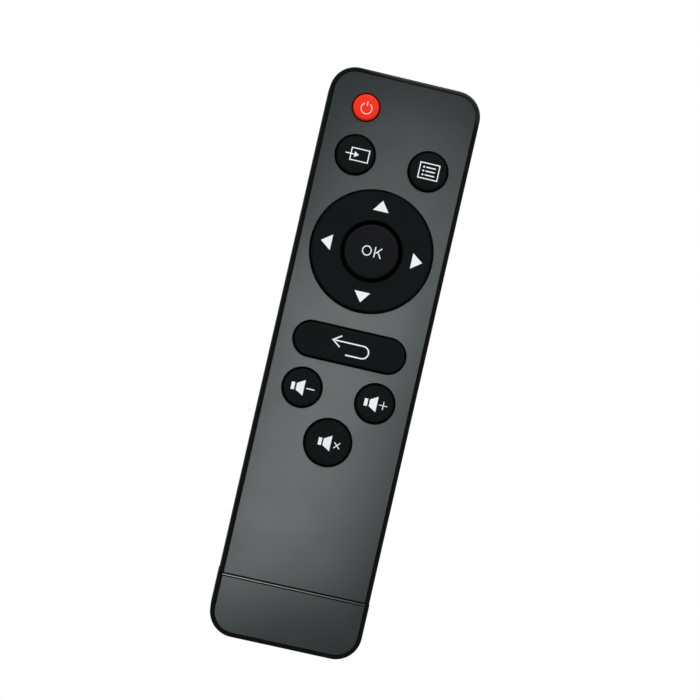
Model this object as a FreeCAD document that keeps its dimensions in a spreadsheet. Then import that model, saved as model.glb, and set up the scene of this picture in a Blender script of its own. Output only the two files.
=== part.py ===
# Hand-held infrared remote control for a projector, lying on its back.
# The frame: +X to the right of the keys, +Y towards the infrared end, +Z up through the keys.
# The origin is the middle of the flat back. All sizes are in millimetres and degrees.
import FreeCAD, Part
import math
import os
import re
import Sketcher
from FreeCAD import Vector

doc = FreeCAD.newDocument("remote_control")

# The driving dimensions: a name and a value, in groups. The case is worked out round what it holds:
# its length from the keypad and the cells, its width from the direction pad, its height from the cells.
SIZES = [
    # Outside of the handset
    ("side_margin", 4.12),
    ("cap_extra_width", 0.15),
    ("corner_radius", 7.1),
    ("back_round", 4.0),
    ("rim_round", 0.7),
    ("rim_width", 1.12),
    ("parting_height", 7.4),
    # Walls and fits of the two case halves
    ("side_wall", 1.5),
    ("back_wall", 1.6),
    ("front_web", 1.3),
    ("lip_height", 1.2),
    ("lip_thickness", 0.65),
    ("lip_clearance", 0.1),
    # Gloss inlays on the front
    ("inlay_thickness", 0.9),
    ("inlay_clearance", 0.1),
    ("inlay_chamfer", 0.15),
    # Battery cover: an end cap with a long tongue over the cells
    ("cap_length", 16.75),
    ("seam_gap", 0.25),
    ("seam_lip", 0.5),
    ("cap_wall", 1.3),
    ("cap_front_web", 0.9),
    ("cap_clearance", 0.15),
    ("step_wall", 1.2),
    ("step_web", 1.0),
    ("tongue_margin", 1.25),
    ("tongue_thickness", 1.5),
    ("tongue_clearance", 0.2),
    ("tongue_overlap", 1.2),
    ("tongue_corner", 1.5),
    ("rail_thickness", 0.6),
    ("rail_inset", 0.8),
    ("rail_reach", 0.9),
    ("rail_lift", 0.15),
    ("rail_end_margin", 2.4),
    ("grip_count", 5),
    ("grip_pitch", 2.0),
    ("grip_width", 1.0),
    ("grip_length", 14.0),
    ("grip_depth", 0.35),
    # Rows and columns of keys: the first row from the infrared end, each other from the row before
    ("key_inset", 10.9),
    ("power_from_end", 10.36),
    ("upper_row_pitch", 13.28),
    ("dpad_pitch", 24.83),
    ("back_pitch", 26.9),
    ("volume_pitch", 13.56),
    ("mute_pitch", 13.21),
    ("bay_under_mute", 0.64),
    # Key openings and the keys in them
    ("power_opening_radius", 3.91),
    ("round_opening_radius", 5.62),
    ("mute_opening_radius", 6.70),
    ("back_side_margin", 5.275),
    ("back_opening_radius", 5.07),
    ("key_gap", 0.32),
    ("case_opening_extra", 0.15),
    ("key_proud", 1.0),
    ("key_crown", 0.25),
    ("key_round", 0.6),
    ("key_travel", 0.75),
    ("key_flange", 0.8),
    ("flange_reach", 0.7),
    ("flange_gap", 0.2),
    ("plunger_extra", 0.4),
    ("pill_radius", 1.8),
    ("small_pill_radius", 1.4),
    ("pill_thickness", 0.25),
    ("pill_clearance", 0.05),
    ("back_pill_spacing", 12.0),
    ("skirt_wall", 0.35),
    ("skirt_inset", 1.2),
    ("skirt_slope", 0.4),
    ("dpad_skirt_gap", 0.25),
    # Direction pad
    ("ok_key_radius", 7.43),
    ("ok_key_gap", 0.42),
    ("ok_groove_width", 0.72),
    ("ok_groove_depth", 1.3),
    ("dpad_dish", 0.35),
    ("dpad_bottom_gap", 1.2),
    ("dpad_tab_gap", 0.8),
    ("dpad_tab_thickness", 0.6),
    ("dpad_tab_width", 4.0),
    ("dpad_tab_root", 1.0),
    ("dpad_relief_gap", 0.6),
    ("dpad_edge_margin", 4.11),
    ("dpad_pill_lift", 0.55),
    ("fulcrum_inner_gap", 0.65),
    ("fulcrum_width", 0.9),
    ("fulcrum_outer_gap", 0.7),
    ("fulcrum_gap", 0.42),
    # Circuit board and rubber mat
    ("key_chamber", 3.0),
    ("mat_thickness", 0.8),
    ("board_thickness", 1.2),
    ("board_edge_gap", 0.4),
    ("contact_pad_thickness", 0.05),
    ("contact_pad_margin", 0.3),
    ("mat_margin", 0.4),
    ("mat_hole_margin", 0.3),
    ("board_screw_inset", 3.05),
    ("board_screw_above_dpad", 14.47),
    ("board_screw_below_dpad", 18.33),
    ("board_screw_radius", 0.8),
    ("board_boss_radius", 1.9),
    ("board_screw_length", 3.2),
    ("board_screw_head_radius", 1.5),
    ("board_screw_head_height", 0.9),
    ("screw_hole_clearance", 0.05),
    ("post_radius", 1.1),
    ("post_inset", 2.45),
    ("post_first_from_end", 19.0),
    ("post_pitch", 31.0),
    ("post_count", 3),
    ("post_gap", 0.2),
    # Screws that join the case halves under the cap
    ("case_screw_inset", 2.35),
    ("case_screw_from_seam", 7.0),
    ("case_screw_radius", 0.95),
    ("case_screw_head_radius", 1.7),
    ("case_screw_head_height", 1.1),
    ("case_screw_sink", 0.3),
    ("case_screw_length", 9.0),
    ("rear_boss_radius", 2.5),
    ("rear_boss_height", 4.0),
    ("front_boss_radius", 2.2),
    ("boss_gap", 0.1),
    ("screw_tip_gap", 0.3),
    ("slot_reach", 1.0),
    ("slot_half_width", 0.25),
    # Cells and their contacts
    ("cell_diameter", 10.5),
    ("cell_length", 44.5),
    ("cell_pitch", 11.8),
    ("cell_lift", 0.5),
    ("cell_top_gap", 0.55),
    ("nub_radius", 1.9),
    ("nub_height", 0.8),
    ("cell_round", 0.5),
    ("cradle_clearance", 0.3),
    ("cradle_rib", 1.0),
    ("cradle_margin", 1.0),
    ("first_rib_from_bay_end", 11.0),
    ("cradle_rib_pitch", 15.0),
    ("spring_length", 3.05),
    ("spring_wire", 0.44),
    ("spring_end_gap", 0.02),
    ("spring_turns", 3),
    ("spring_wide_radius", 3.1),
    ("spring_narrow_radius", 2.0),
    ("contact_thickness", 0.3),
    ("contact_width", 9.0),
    ("contact_half_height", 4.2),
    ("tab_width", 3.0),
    ("tab_length", 4.0),
    ("tab_clearance", 0.25),
    ("bay_wall", 1.0),
    ("bay_side_gap", 0.3),
    ("bay_wall_drop", 1.0),
    # Infrared lamp and its window
    ("window_width", 10.0),
    ("window_height", 3.2),
    ("window_lift", 0.2),
    ("window_corner", 0.5),
    ("window_clearance", 0.06),
    ("window_flange", 0.8),
    ("window_flange_thickness", 0.6),
    ("lamp_radius", 2.5),
    ("lamp_flange_radius", 2.9),
    ("lamp_flange_height", 1.0),
    ("lamp_length", 8.0),
    ("lamp_tip_gap", 1.1),
    ("lamp_lead", 0.5),
    ("lamp_lead_spacing", 2.54),
    ("lamp_lead_length", 4.5),
    ("notch_clearance", 0.5),
    ("hole_clearance", 0.2),
    # Parts under the circuit board
    ("chip_length", 10.3),
    ("chip_width", 7.5),
    ("chip_height", 2.3),
    ("chip_lead_pitch", 1.27),
    ("chip_lead_count", 8),
    ("chip_lead_width", 0.4),
    ("chip_lead_reach", 1.4),
    ("chip_lead_thickness", 0.25),
    ("chip_from_end", 74.0),
    ("capacitor_radius", 2.5),
    ("capacitor_length", 11.0),
    ("capacitor_crimp_depth", 0.3),
    ("capacitor_crimp_start", 1.2),
    ("capacitor_crimp_width", 1.2),
    ("board_part_gap", 0.1),
    ("capacitor_from_bay", 12.2),
    ("resonator_length", 7.5),
    ("resonator_width", 3.0),
    ("resonator_height", 3.5),
    ("resonator_from_end", 58.0),
    ("transistor_radius", 2.3),
    ("transistor_flat", 1.3),
    ("transistor_height", 4.6),
    ("transistor_from_end", 22.0),
    ("resistor_length", 2.0),
    ("resistor_width", 1.25),
    ("resistor_height", 0.5),
    ("resistor_pitch", 3.0),
    ("resistor_count", 4),
    ("resistor_from_end", 22.0),
    ("part_column", 8.0),
    # How deep a rib, boss or lug is rooted in what carries it, and how far a cut runs past a face
    ("root_depth", 0.2),
    ("cut_past", 1.0),
]

# How near counts as the same place
CLOSE = 1e-3

# Places and levels that follow from the sizes.
PLACES = [
    ("cell_radius", "cell_diameter / 2"),
    ("cell_height", "tongue_thickness + cell_lift + cell_radius"),
    ("cell_top", "cell_height + cell_radius"),
    ("cap_stack", "step_web + cap_clearance + cap_front_web + inlay_thickness"),
    ("body_height", "cell_top + cell_top_gap + cap_stack"),
    ("dpad_from_end", "power_from_end + upper_row_pitch + dpad_pitch"),
    ("mute_from_end", "dpad_from_end + back_pitch + volume_pitch + mute_pitch"),
    ("step_inner_depth", "cap_wall + cap_clearance + step_wall"),
    ("bay_depth", "spring_length + cell_length + 2 * contact_thickness"),
    ("bay_wall_depth", "step_inner_depth + bay_depth + bay_wall"),
    ("overall_length", "mute_from_end + mute_opening_radius - bay_under_mute + bay_wall_depth"),
    ("half_length", "overall_length / 2"),
    ("ok_bore_radius", "ok_key_radius + ok_key_gap"),
    ("ok_groove_radius", "ok_bore_radius + ok_groove_width"),
    ("fulcrum_inner_radius", "ok_bore_radius + flange_reach + fulcrum_inner_gap"),
    ("fulcrum_outer_radius", "fulcrum_inner_radius + fulcrum_width"),
    ("dpad_relief_radius", "fulcrum_outer_radius + fulcrum_outer_gap"),
    ("dpad_plunger_radius", "small_pill_radius + plunger_extra"),
    ("dpad_pill_circle", "dpad_relief_radius + dpad_plunger_radius"),
    ("dpad_radius", "dpad_pill_circle + dpad_edge_margin"),
    ("dpad_opening_radius", "dpad_radius + key_gap"),
    ("half_width", "dpad_opening_radius + side_margin"),
    ("key_column", "half_width - key_inset"),
    ("cap_half_width", "half_width + cap_extra_width"),
    ("cap_corner_radius", "corner_radius + cap_half_width - half_width"),
    ("cap_edge", "cap_length - half_length"),
    ("case_end", "cap_edge + seam_gap"),
    ("inner_half_width", "half_width - side_wall"),
    ("inner_end", "half_length - side_wall"),
    ("inner_corner_radius", "corner_radius - side_wall"),
    ("inlay_bottom", "body_height - inlay_thickness"),
    ("web_bottom", "inlay_bottom - front_web"),
    ("cap_cavity_top", "inlay_bottom - cap_front_web"),
    ("cap_cavity_half_width", "cap_half_width - cap_wall"),
    ("cap_cavity_end", "cap_wall - half_length"),
    ("cap_cavity_radius", "cap_corner_radius - cap_wall"),
    ("step_half_width", "cap_cavity_half_width - cap_clearance"),
    ("step_end", "cap_cavity_end + cap_clearance"),
    ("step_top", "cap_cavity_top - cap_clearance"),
    ("step_bottom", "cap_wall + cap_clearance"),
    ("step_corner_radius", "cap_cavity_radius - cap_clearance"),
    ("step_web_bottom", "step_top - step_web"),
    ("step_floor_top", "step_bottom + step_wall"),
    ("step_inner_half_width", "step_half_width - step_wall"),
    ("step_inner_end", "step_end + step_wall"),
    ("main_cavity_end", "case_end + step_wall"),
    # Board, mat and the levels of a key
    ("board_top", "web_bottom - key_chamber"),
    ("board_bottom", "board_top - board_thickness"),
    ("board_half_width", "inner_half_width - board_edge_gap"),
    ("board_end", "inner_end - board_edge_gap - lip_thickness"),
    ("board_corner_radius", "inner_corner_radius - board_edge_gap"),
    ("mat_top", "board_top + mat_thickness"),
    ("pill_bottom", "board_top + contact_pad_thickness + pill_clearance + key_travel"),
    ("pill_top", "pill_bottom + pill_thickness"),
    ("flange_top", "web_bottom - flange_gap"),
    ("flange_bottom", "flange_top - key_flange"),
    ("key_top", "body_height + key_proud"),
    ("key_shoulder", "key_top - key_crown"),
    ("dpad_bottom", "web_bottom - dpad_bottom_gap"),
    ("dpad_relief_top", "flange_top + dpad_relief_gap"),
    ("dpad_pill_bottom", "board_top + contact_pad_thickness + dpad_pill_lift"),
    ("dpad_pill_top", "dpad_pill_bottom + pill_thickness"),
    ("dpad_skirt_radius", "dpad_plunger_radius + dpad_skirt_gap"),
    ("fulcrum_bottom", "mat_top + fulcrum_gap"),
    ("fulcrum_top", "dpad_relief_top - fulcrum_gap"),
    ("back_key_radius", "back_opening_radius - key_gap"),
    ("back_straight", "half_width - back_side_margin - back_opening_radius"),
    ("back_skirt_radius", "back_opening_radius - skirt_inset"),
    # Rows, counted along +Y from the middle
    ("power_row", "half_length - power_from_end"),
    ("upper_row", "power_row - upper_row_pitch"),
    ("dpad_row", "upper_row - dpad_pitch"),
    ("back_row", "dpad_row - back_pitch"),
    ("volume_row", "back_row - volume_pitch"),
    ("mute_row", "volume_row - mute_pitch"),
    ("board_screw_column", "board_half_width - board_screw_inset"),
    ("board_screw_upper_row", "dpad_row + board_screw_above_dpad"),
    ("board_screw_lower_row", "dpad_row - board_screw_below_dpad"),
    ("post_row", "half_length - post_first_from_end"),
    ("post_column", "inner_half_width - post_inset"),
    # Battery bay
    ("cell_column", "cell_pitch / 2"),
    ("contact_bottom", "cell_height - contact_half_height"),
    ("contact_top", "cell_height + contact_half_height"),
    ("lower_contact_face", "step_inner_end + contact_thickness"),
    ("upper_contact_face", "lower_contact_face + spring_length + cell_length"),
    ("bay_end", "upper_contact_face + contact_thickness"),
    ("bay_wall_end", "bay_end + bay_wall"),
    ("board_low_end", "bay_wall_end + board_edge_gap"),
    ("tongue_tip", "bay_wall_end + tongue_overlap"),
    ("tongue_half_width", "cell_column + cell_radius + tongue_margin"),
    ("opening_half_width", "tongue_half_width + tongue_clearance"),
    ("rail_bottom", "back_wall + rail_lift"),
    ("rail_top", "rail_bottom + rail_thickness"),
    ("rail_inner", "tongue_half_width - rail_inset"),
    ("rail_outer", "tongue_half_width + rail_reach"),
    ("grip_end", "back_round + grip_width - half_length"),
    ("rail_low_end", "main_cavity_end + tongue_corner"),
    ("rail_high_end", "bay_end - rail_end_margin"),
    ("bay_inner", "rail_outer + bay_side_gap"),
    ("bay_outer", "bay_inner + bay_wall"),
    ("bay_wall_top", "cell_top - bay_wall_drop"),
    ("cradle_half_width", "bay_inner - cradle_margin"),
    ("case_screw_column", "step_inner_half_width - case_screw_inset"),
    ("case_screw_row", "case_end - case_screw_from_seam"),
    ("case_screw_seat", "step_bottom + case_screw_sink"),
    ("case_screw_tip", "case_screw_seat + case_screw_head_height + case_screw_length"),
    ("front_boss_bottom", "step_bottom + rear_boss_height + boss_gap"),
    # Window and lamp
    ("window_bottom", "parting_height + lip_height + lip_clearance + window_lift"),
    ("window_top", "window_bottom + window_height"),
    ("lamp_height", "board_bottom - lamp_lead / 2"),
    ("lamp_tip", "inner_end - lamp_tip_gap"),
    ("lamp_base", "lamp_tip - lamp_length"),
    ("notch_half_width", "lamp_flange_radius + notch_clearance"),
    ("notch_end", "lamp_base - notch_clearance"),
]

sizes = doc.addObject("Spreadsheet::Sheet", "sizes")
for row, (name, value) in enumerate(SIZES, start=1):
    sizes.set(f"A{row}", name.replace("_", " "))
    sizes.set(f"B{row}", str(value))
    sizes.setAlias(f"B{row}", name)
doc.recompute()

SIZE_NAMES = {name for name, value in SIZES}
PLACE_NAMES = {name for name, formula in PLACES}


def tie(text):
    """Write the sheet's name before each size or place that an expression uses."""
    def full_name(match):
        word = match.group(0)
        if word in SIZE_NAMES:
            return "sizes." + word
        if word in PLACE_NAMES:
            return "places." + word
        return word
    return re.sub(r"[a-z][a-z_]+", full_name, str(text))


places = doc.addObject("Spreadsheet::Sheet", "places")
for row, (name, formula) in enumerate(PLACES, start=1):
    places.set(f"A{row}", name.replace("_", " "))
    places.set(f"B{row}", "=" + tie(formula).replace("places.", ""))
    places.setAlias(f"B{row}", name)
    doc.recompute()


def value(text):
    """The number that an expression has now."""
    return float(sizes.evalExpression(tie(text)))


pieces = []


def keep(piece, name, across="0", along="0", up="0"):
    """Name a finished sub-part, set it at its place and list it for writing."""
    piece.Label = name
    for axis, text in (("x", across), ("y", along), ("z", up)):
        if text != "0":
            piece.setExpression(f"Placement.Base.{axis}", tie(text))
    pieces.append(piece)
    return piece


def new_body(name, across="0", along="0", up="0"):
    body = doc.addObject("PartDesign::Body", name)
    doc.recompute()
    return keep(body, name, across, along, up)


def new_sketch(body, name, plane="XY_Plane", level="0", across="0", up="0"):
    """A sketch on one of the body's own origin planes, moved along its normal and in its plane."""
    sketch = body.newObject("Sketcher::SketchObject", name)
    flat = [item for item in body.Origin.OriginFeatures if item.Role == plane][0]
    sketch.AttachmentSupport = [(flat, "")]
    sketch.MapMode = "FlatFace"
    for axis, text in (("x", across), ("y", up), ("z", level)):
        if text != "0":
            sketch.setExpression(f"AttachmentOffset.Base.{axis}", tie(text))
    return sketch


def fix(sketch, kind, text, *where):
    """One dimension of a sketch, tied to an expression."""
    number = sketch.addConstraint(Sketcher.Constraint(kind, *where, value(text)))
    sketch.setExpression(f"Constraints[{number}]", tie(text))


def circle(sketch, across, up, radius):
    centre = Vector(value(across), value(up), 0)
    ring = sketch.addGeometry(Part.Circle(centre, Vector(0, 0, 1), value(radius)))
    fix(sketch, "DistanceX", across, ring, 3)
    fix(sketch, "DistanceY", up, ring, 3)
    fix(sketch, "Radius", radius, ring)


def rectangle(sketch, left, right, low, high, low_radius=None, high_radius=None):
    """A rectangle whose two low corners and two high corners may be round."""
    corners = [(left, low, low_radius), (right, low, low_radius)]
    corners += [(right, high, high_radius), (left, high, high_radius)]
    travel = [Vector(1, 0, 0), Vector(0, 1, 0), Vector(-1, 0, 0), Vector(0, -1, 0)]
    at = [Vector(value(x), value(y), 0) for x, y, radius in corners]
    reach = [value(radius) if radius else 0.0 for x, y, radius in corners]
    lines = []
    for side in range(4):
        after = (side + 1) % 4
        start = at[side] + travel[side] * reach[side]
        end = at[after] - travel[side] * reach[after]
        lines.append(sketch.addGeometry(Part.LineSegment(start, end)))
    for side in range(4):
        kind = "Horizontal" if side % 2 == 0 else "Vertical"
        sketch.addConstraint(Sketcher.Constraint(kind, lines[side]))
    for side in range(4):
        before = side - 1
        if not corners[side][2]:
            sketch.addConstraint(Sketcher.Constraint("Coincident", lines[before], 2, lines[side], 1))
            continue
        centre = at[side] + (travel[side] - travel[before]) * reach[side]
        turn = math.radians(180 + 90 * side)
        bend = Part.ArcOfCircle(
            Part.Circle(centre, Vector(0, 0, 1), reach[side]), turn, turn + math.pi / 2
        )
        arc = sketch.addGeometry(bend)
        sketch.addConstraint(Sketcher.Constraint("Tangent", lines[before], 2, arc, 1))
        sketch.addConstraint(Sketcher.Constraint("Tangent", arc, 2, lines[side], 1))
        fix(sketch, "Radius", corners[side][2], arc)
    fix(sketch, "DistanceY", low, lines[0], 1)
    fix(sketch, "DistanceX", right, lines[1], 1)
    fix(sketch, "DistanceY", high, lines[2], 1)
    fix(sketch, "DistanceX", left, lines[3], 1)


def stadium(sketch, straight, radius):
    """A long key's outline about the sketch's origin: two half circles joined by straight sides."""
    half = value(straight)
    round_by = value(radius)
    low = sketch.addGeometry(Part.LineSegment(Vector(-half, -round_by, 0), Vector(half, -round_by, 0)))
    high = sketch.addGeometry(Part.LineSegment(Vector(half, round_by, 0), Vector(-half, round_by, 0)))
    right_circle = Part.Circle(Vector(half, 0, 0), Vector(0, 0, 1), round_by)
    left_circle = Part.Circle(Vector(-half, 0, 0), Vector(0, 0, 1), round_by)
    right = sketch.addGeometry(Part.ArcOfCircle(right_circle, -math.pi / 2, math.pi / 2))
    left = sketch.addGeometry(Part.ArcOfCircle(left_circle, math.pi / 2, 3 * math.pi / 2))
    for first, second in ((low, right), (right, high), (high, left), (left, low)):
        sketch.addConstraint(Sketcher.Constraint("Tangent", first, 2, second, 1))
    fix(sketch, "Radius", radius, right)
    fix(sketch, "DistanceX", straight, right, 3)
    fix(sketch, "DistanceX", f"-({straight})", left, 3)
    fix(sketch, "DistanceY", "0", right, 3)
    fix(sketch, "DistanceY", "0", left, 3)


def profile(sketch, points, crowned=False):
    """A closed outline through points. The side before the last point may be an arc about the axis."""
    at = [Vector(value(x), value(y), 0) for x, y in points]
    count = len(at)
    crown = count - 2 if crowned else None
    sides = []
    for number in range(count):
        start, end = at[number], at[(number + 1) % count]
        if number == crown:
            rise = end.y - start.y
            radius = (start.x ** 2 + rise ** 2) / (2 * rise)
            middle_x = start.x / 2
            middle_y = end.y - radius + math.sqrt(radius ** 2 - middle_x ** 2)
            sides.append(sketch.addGeometry(Part.Arc(start, Vector(middle_x, middle_y, 0), end)))
        else:
            sides.append(sketch.addGeometry(Part.LineSegment(start, end)))

    def ends(number):
        """The point numbers of a side's start and end: an arc may be stored the other way round."""
        first = sketch.getPoint(sides[number], 1)
        return (1, 2) if first.distanceToPoint(at[number]) < CLOSE else (2, 1)

    for number, (x, y) in enumerate(points):
        if number == crown:
            continue
        fix(sketch, "DistanceX", x, sides[number], ends(number)[0])
        fix(sketch, "DistanceY", y, sides[number], ends(number)[0])
    for number in range(count):
        after = (number + 1) % count
        sketch.addConstraint(
            Sketcher.Constraint("Coincident", sides[number], ends(number)[1], sides[after], ends(after)[0])
        )
    if crown is not None:
        fix(sketch, "DistanceX", points[crown][0], sides[crown - 1], 2)
        fix(sketch, "DistanceY", points[crown][1], sides[crown - 1], 2)
        fix(sketch, "DistanceX", "0", sides[crown], 3)


def pad(body, sketch, length, down=False):
    """Raise a sketch along its plane's normal, or against it."""
    feature = body.newObject("PartDesign::Pad", sketch.Name + "_pad")
    feature.Profile = sketch
    feature.setExpression("Length", tie(length))
    feature.Reversed = down
    doc.recompute()
    return feature


def pocket(body, sketch, depth, along_normal=True):
    """Cut a sketch into the body along its plane's normal, or against it, and see that it cuts."""
    before = body.Shape.Volume
    feature = body.newObject("PartDesign::Pocket", sketch.Name + "_cut")
    feature.Profile = sketch
    feature.setExpression("Length", tie(depth))
    feature.Reversed = along_normal
    doc.recompute()
    if feature.Shape.Volume > before - CLOSE:
        raise ValueError(f"{feature.Name} cuts nothing")
    return feature


def revolve(body, sketch, axis="V_Axis"):
    feature = body.newObject("PartDesign::Revolution", sketch.Name + "_turned")
    feature.Profile = sketch
    feature.ReferenceAxis = (sketch, [axis])
    feature.Angle = 360
    doc.recompute()
    return feature


def edges_where(feature, test):
    """Names of the edges that pass a test on the edge and its middle point."""
    names = []
    for number, edge in enumerate(feature.Shape.Edges, start=1):
        middle = edge.valueAt((edge.FirstParameter + edge.LastParameter) / 2)
        if test(edge, middle):
            names.append(f"Edge{number}")
    return names


def round_edges(body, feature, radius, test, kind="PartDesign::Fillet"):
    """Fillet or chamfer the edges of a feature that pass a test."""
    names = edges_where(feature, test)
    if not names:
        raise ValueError(f"no edge of {feature.Name} to round")
    blend = body.newObject(kind, feature.Name + "_round")
    blend.Base = (feature, names)
    blend.setExpression("Radius" if kind.endswith("Fillet") else "Size", tie(radius))
    doc.recompute()
    return blend


def pattern(body, feature, axis, length, occurrences):
    """Repeat a feature along one of the body's origin axes."""
    line = [item for item in body.Origin.OriginFeatures if item.Role == axis][0]
    row_of = body.newObject("PartDesign::LinearPattern", feature.Name + "_row")
    row_of.Originals = [feature]
    row_of.Direction = (line, [""])
    row_of.Mode = "Extent"
    row_of.setExpression("Length", tie(length))
    row_of.setExpression("Occurrences", tie(occurrences))
    body.Tip = row_of
    doc.recompute()
    return row_of


def polar(body, feature, occurrences):
    """Repeat a feature round the body's own upright axis."""
    line = [item for item in body.Origin.OriginFeatures if item.Role == "Z_Axis"][0]
    ring_of = body.newObject("PartDesign::PolarPattern", feature.Name + "_ring")
    ring_of.Originals = [feature]
    ring_of.Axis = (line, [""])
    ring_of.Angle = 360
    ring_of.Occurrences = occurrences
    body.Tip = ring_of
    doc.recompute()
    return ring_of


def level_edges(height):
    """A test for edges that lie flat at one height."""
    level = value(height)

    def test(edge, middle):
        box = edge.BoundBox
        return abs(box.ZMin - level) < CLOSE and abs(box.ZMax - level) < CLOSE
    return test


# Round keys: name, column, row, opening radius and the radius of the carbon pill under it
ROUND_KEYS = [
    ("power_key", "-key_column", "power_row", "power_opening_radius", "small_pill_radius"),
    ("input_key", "-key_column", "upper_row", "round_opening_radius", "pill_radius"),
    ("menu_key", "key_column", "upper_row", "round_opening_radius", "pill_radius"),
    ("volume_down_key", "-key_column", "volume_row", "round_opening_radius", "pill_radius"),
    ("volume_up_key", "key_column", "volume_row", "round_opening_radius", "pill_radius"),
    ("mute_key", "0", "mute_row", "mute_opening_radius", "pill_radius"),
]
QUARTERS = [("1", "0"), ("0", "1"), ("-1", "0"), ("0", "-1")]
SIDES = ("-1", "1")


def all_key_openings(sketch, extra):
    """The outlines of every key opening in the front, each wider all round by extra."""
    for name, column, line, radius, pill in ROUND_KEYS:
        circle(sketch, column, line, f"{radius} + {extra}")
    circle(sketch, "0", "dpad_row", f"dpad_opening_radius + {extra}")


def back_opening(body, name, level, extra):
    """A sketch of the back key's opening."""
    sketch = new_sketch(body, name, level=level, up="back_row")
    stadium(sketch, "back_straight", f"back_opening_radius + {extra}")
    return sketch


# Front half of the case: a frame with a web under the gloss inlay and a stepped end inside the cap
front_case = new_body("front_case")
sketch = new_sketch(front_case, "front_outline", level="parting_height")
rectangle(sketch, "-half_width", "half_width", "case_end", "half_length", None, "corner_radius")
front_block = pad(front_case, sketch, "body_height - parting_height")
seam_plane = value("case_end")


def front_rim(edge, middle):
    flat = level_edges("body_height")(edge, middle)
    return flat and middle.y > seam_plane + CLOSE


round_edges(front_case, front_block, "rim_round", front_rim)
sketch = new_sketch(front_case, "front_step_outline", level="parting_height")
rectangle(
    sketch, "-step_half_width", "step_half_width", "step_end", "case_end + root_depth",
    "step_corner_radius",
)
pad(front_case, sketch, "step_top - parting_height")
sketch = new_sketch(front_case, "front_inside", level="parting_height")
rectangle(
    sketch, "-inner_half_width", "inner_half_width", "main_cavity_end", "inner_end",
    None, "inner_corner_radius",
)
pocket(front_case, sketch, "web_bottom - parting_height")
sketch = new_sketch(front_case, "front_step_inside", level="parting_height")
rectangle(
    sketch, "-step_inner_half_width", "step_inner_half_width", "step_inner_end",
    "main_cavity_end + cut_past", "step_corner_radius - step_wall",
)
pocket(front_case, sketch, "step_web_bottom - parting_height")
sketch = new_sketch(front_case, "front_lip_rebate", level="parting_height")
rectangle(
    sketch, "-(inner_half_width + lip_thickness + lip_clearance)",
    "inner_half_width + lip_thickness + lip_clearance", "main_cavity_end",
    "inner_end + lip_thickness + lip_clearance", None,
    "inner_corner_radius + lip_thickness + lip_clearance",
)
pocket(front_case, sketch, "lip_height + lip_clearance")
sketch = new_sketch(front_case, "front_inlay_recess", level="inlay_bottom")
rectangle(
    sketch, "rim_width - half_width", "half_width - rim_width", "case_end - cut_past",
    "half_length - rim_width", None, "corner_radius - rim_width",
)
pocket(front_case, sketch, "inlay_thickness + cut_past")
sketch = new_sketch(front_case, "front_key_openings", level="web_bottom - cut_past")
all_key_openings(sketch, "case_opening_extra")
pocket(front_case, sketch, "front_web + 2 * cut_past")
sketch = back_opening(
    front_case, "front_back_opening", "web_bottom - cut_past", "case_opening_extra"
)
pocket(front_case, sketch, "front_web + 2 * cut_past")
sketch = new_sketch(front_case, "front_board_bosses", level="board_top")
for side in SIDES:
    for line in ("board_screw_upper_row", "board_screw_lower_row"):
        circle(sketch, f"{side} * board_screw_column", line, "board_boss_radius")
pad(front_case, sketch, "key_chamber + root_depth")
sketch = new_sketch(front_case, "front_board_screw_holes", level="board_top")
for side in SIDES:
    for line in ("board_screw_upper_row", "board_screw_lower_row"):
        circle(sketch, f"{side} * board_screw_column", line, "board_screw_radius + screw_hole_clearance")
pocket(front_case, sketch, "board_screw_length - board_thickness + screw_tip_gap")
sketch = new_sketch(front_case, "front_case_bosses", level="front_boss_bottom")
for side in SIDES:
    circle(sketch, f"{side} * case_screw_column", "case_screw_row", "front_boss_radius")
pad(front_case, sketch, "step_web_bottom - front_boss_bottom + root_depth")
sketch = new_sketch(front_case, "front_case_screw_holes", level="front_boss_bottom")
for side in SIDES:
    circle(
        sketch, f"{side} * case_screw_column", "case_screw_row",
        "case_screw_radius + screw_hole_clearance",
    )
pocket(front_case, sketch, "case_screw_tip + screw_tip_gap - front_boss_bottom")
for number in range(2):
    from_bay_end = f"first_rib_from_bay_end + {number} * cradle_rib_pitch"
    sketch = new_sketch(
        front_case, f"front_cradle_rib_{number}", plane="XZ_Plane", level=f"{from_bay_end} - bay_end"
    )
    rectangle(
        sketch, "-cradle_half_width", "cradle_half_width", "cell_height", "web_bottom + root_depth"
    )
    pad(front_case, sketch, "cradle_rib")
sketch = new_sketch(front_case, "front_cell_channels", plane="XZ_Plane", level="-bay_end")
for side in SIDES:
    circle(sketch, f"{side} * cell_column", "cell_height", "cell_radius + cradle_clearance")
pocket(front_case, sketch, "first_rib_from_bay_end + cradle_rib_pitch + cradle_rib + cut_past")
sketch = new_sketch(
    front_case, "front_window_opening", plane="XZ_Plane", level="window_flange_thickness - inner_end"
)
rectangle(
    sketch, "-window_width / 2", "window_width / 2", "window_bottom", "window_top",
    "window_corner", "window_corner",
)
pocket(
    front_case, sketch, "window_flange_thickness + side_wall + cut_past", along_normal=False
)

# Rear half of the case: a tray with the battery opening in its floor and the stepped end inside the cap
rear_case = new_body("rear_case")
sketch = new_sketch(rear_case, "rear_outline")
rectangle(sketch, "-half_width", "half_width", "case_end", "half_length", None, "corner_radius")
rear_block = pad(rear_case, sketch, "parting_height")


def back_edge(edge, middle):
    return level_edges("0")(edge, middle) and middle.y > seam_plane + CLOSE


round_edges(rear_case, rear_block, "back_round", back_edge)
sketch = new_sketch(rear_case, "rear_step_outline", level="step_bottom")
rectangle(
    sketch, "-step_half_width", "step_half_width", "step_end", "case_end + root_depth",
    "step_corner_radius",
)
rear_step = pad(rear_case, sketch, "parting_height - step_bottom")


def step_back_edge(edge, middle):
    return level_edges("step_bottom")(edge, middle) and middle.y < seam_plane - CLOSE


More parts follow.
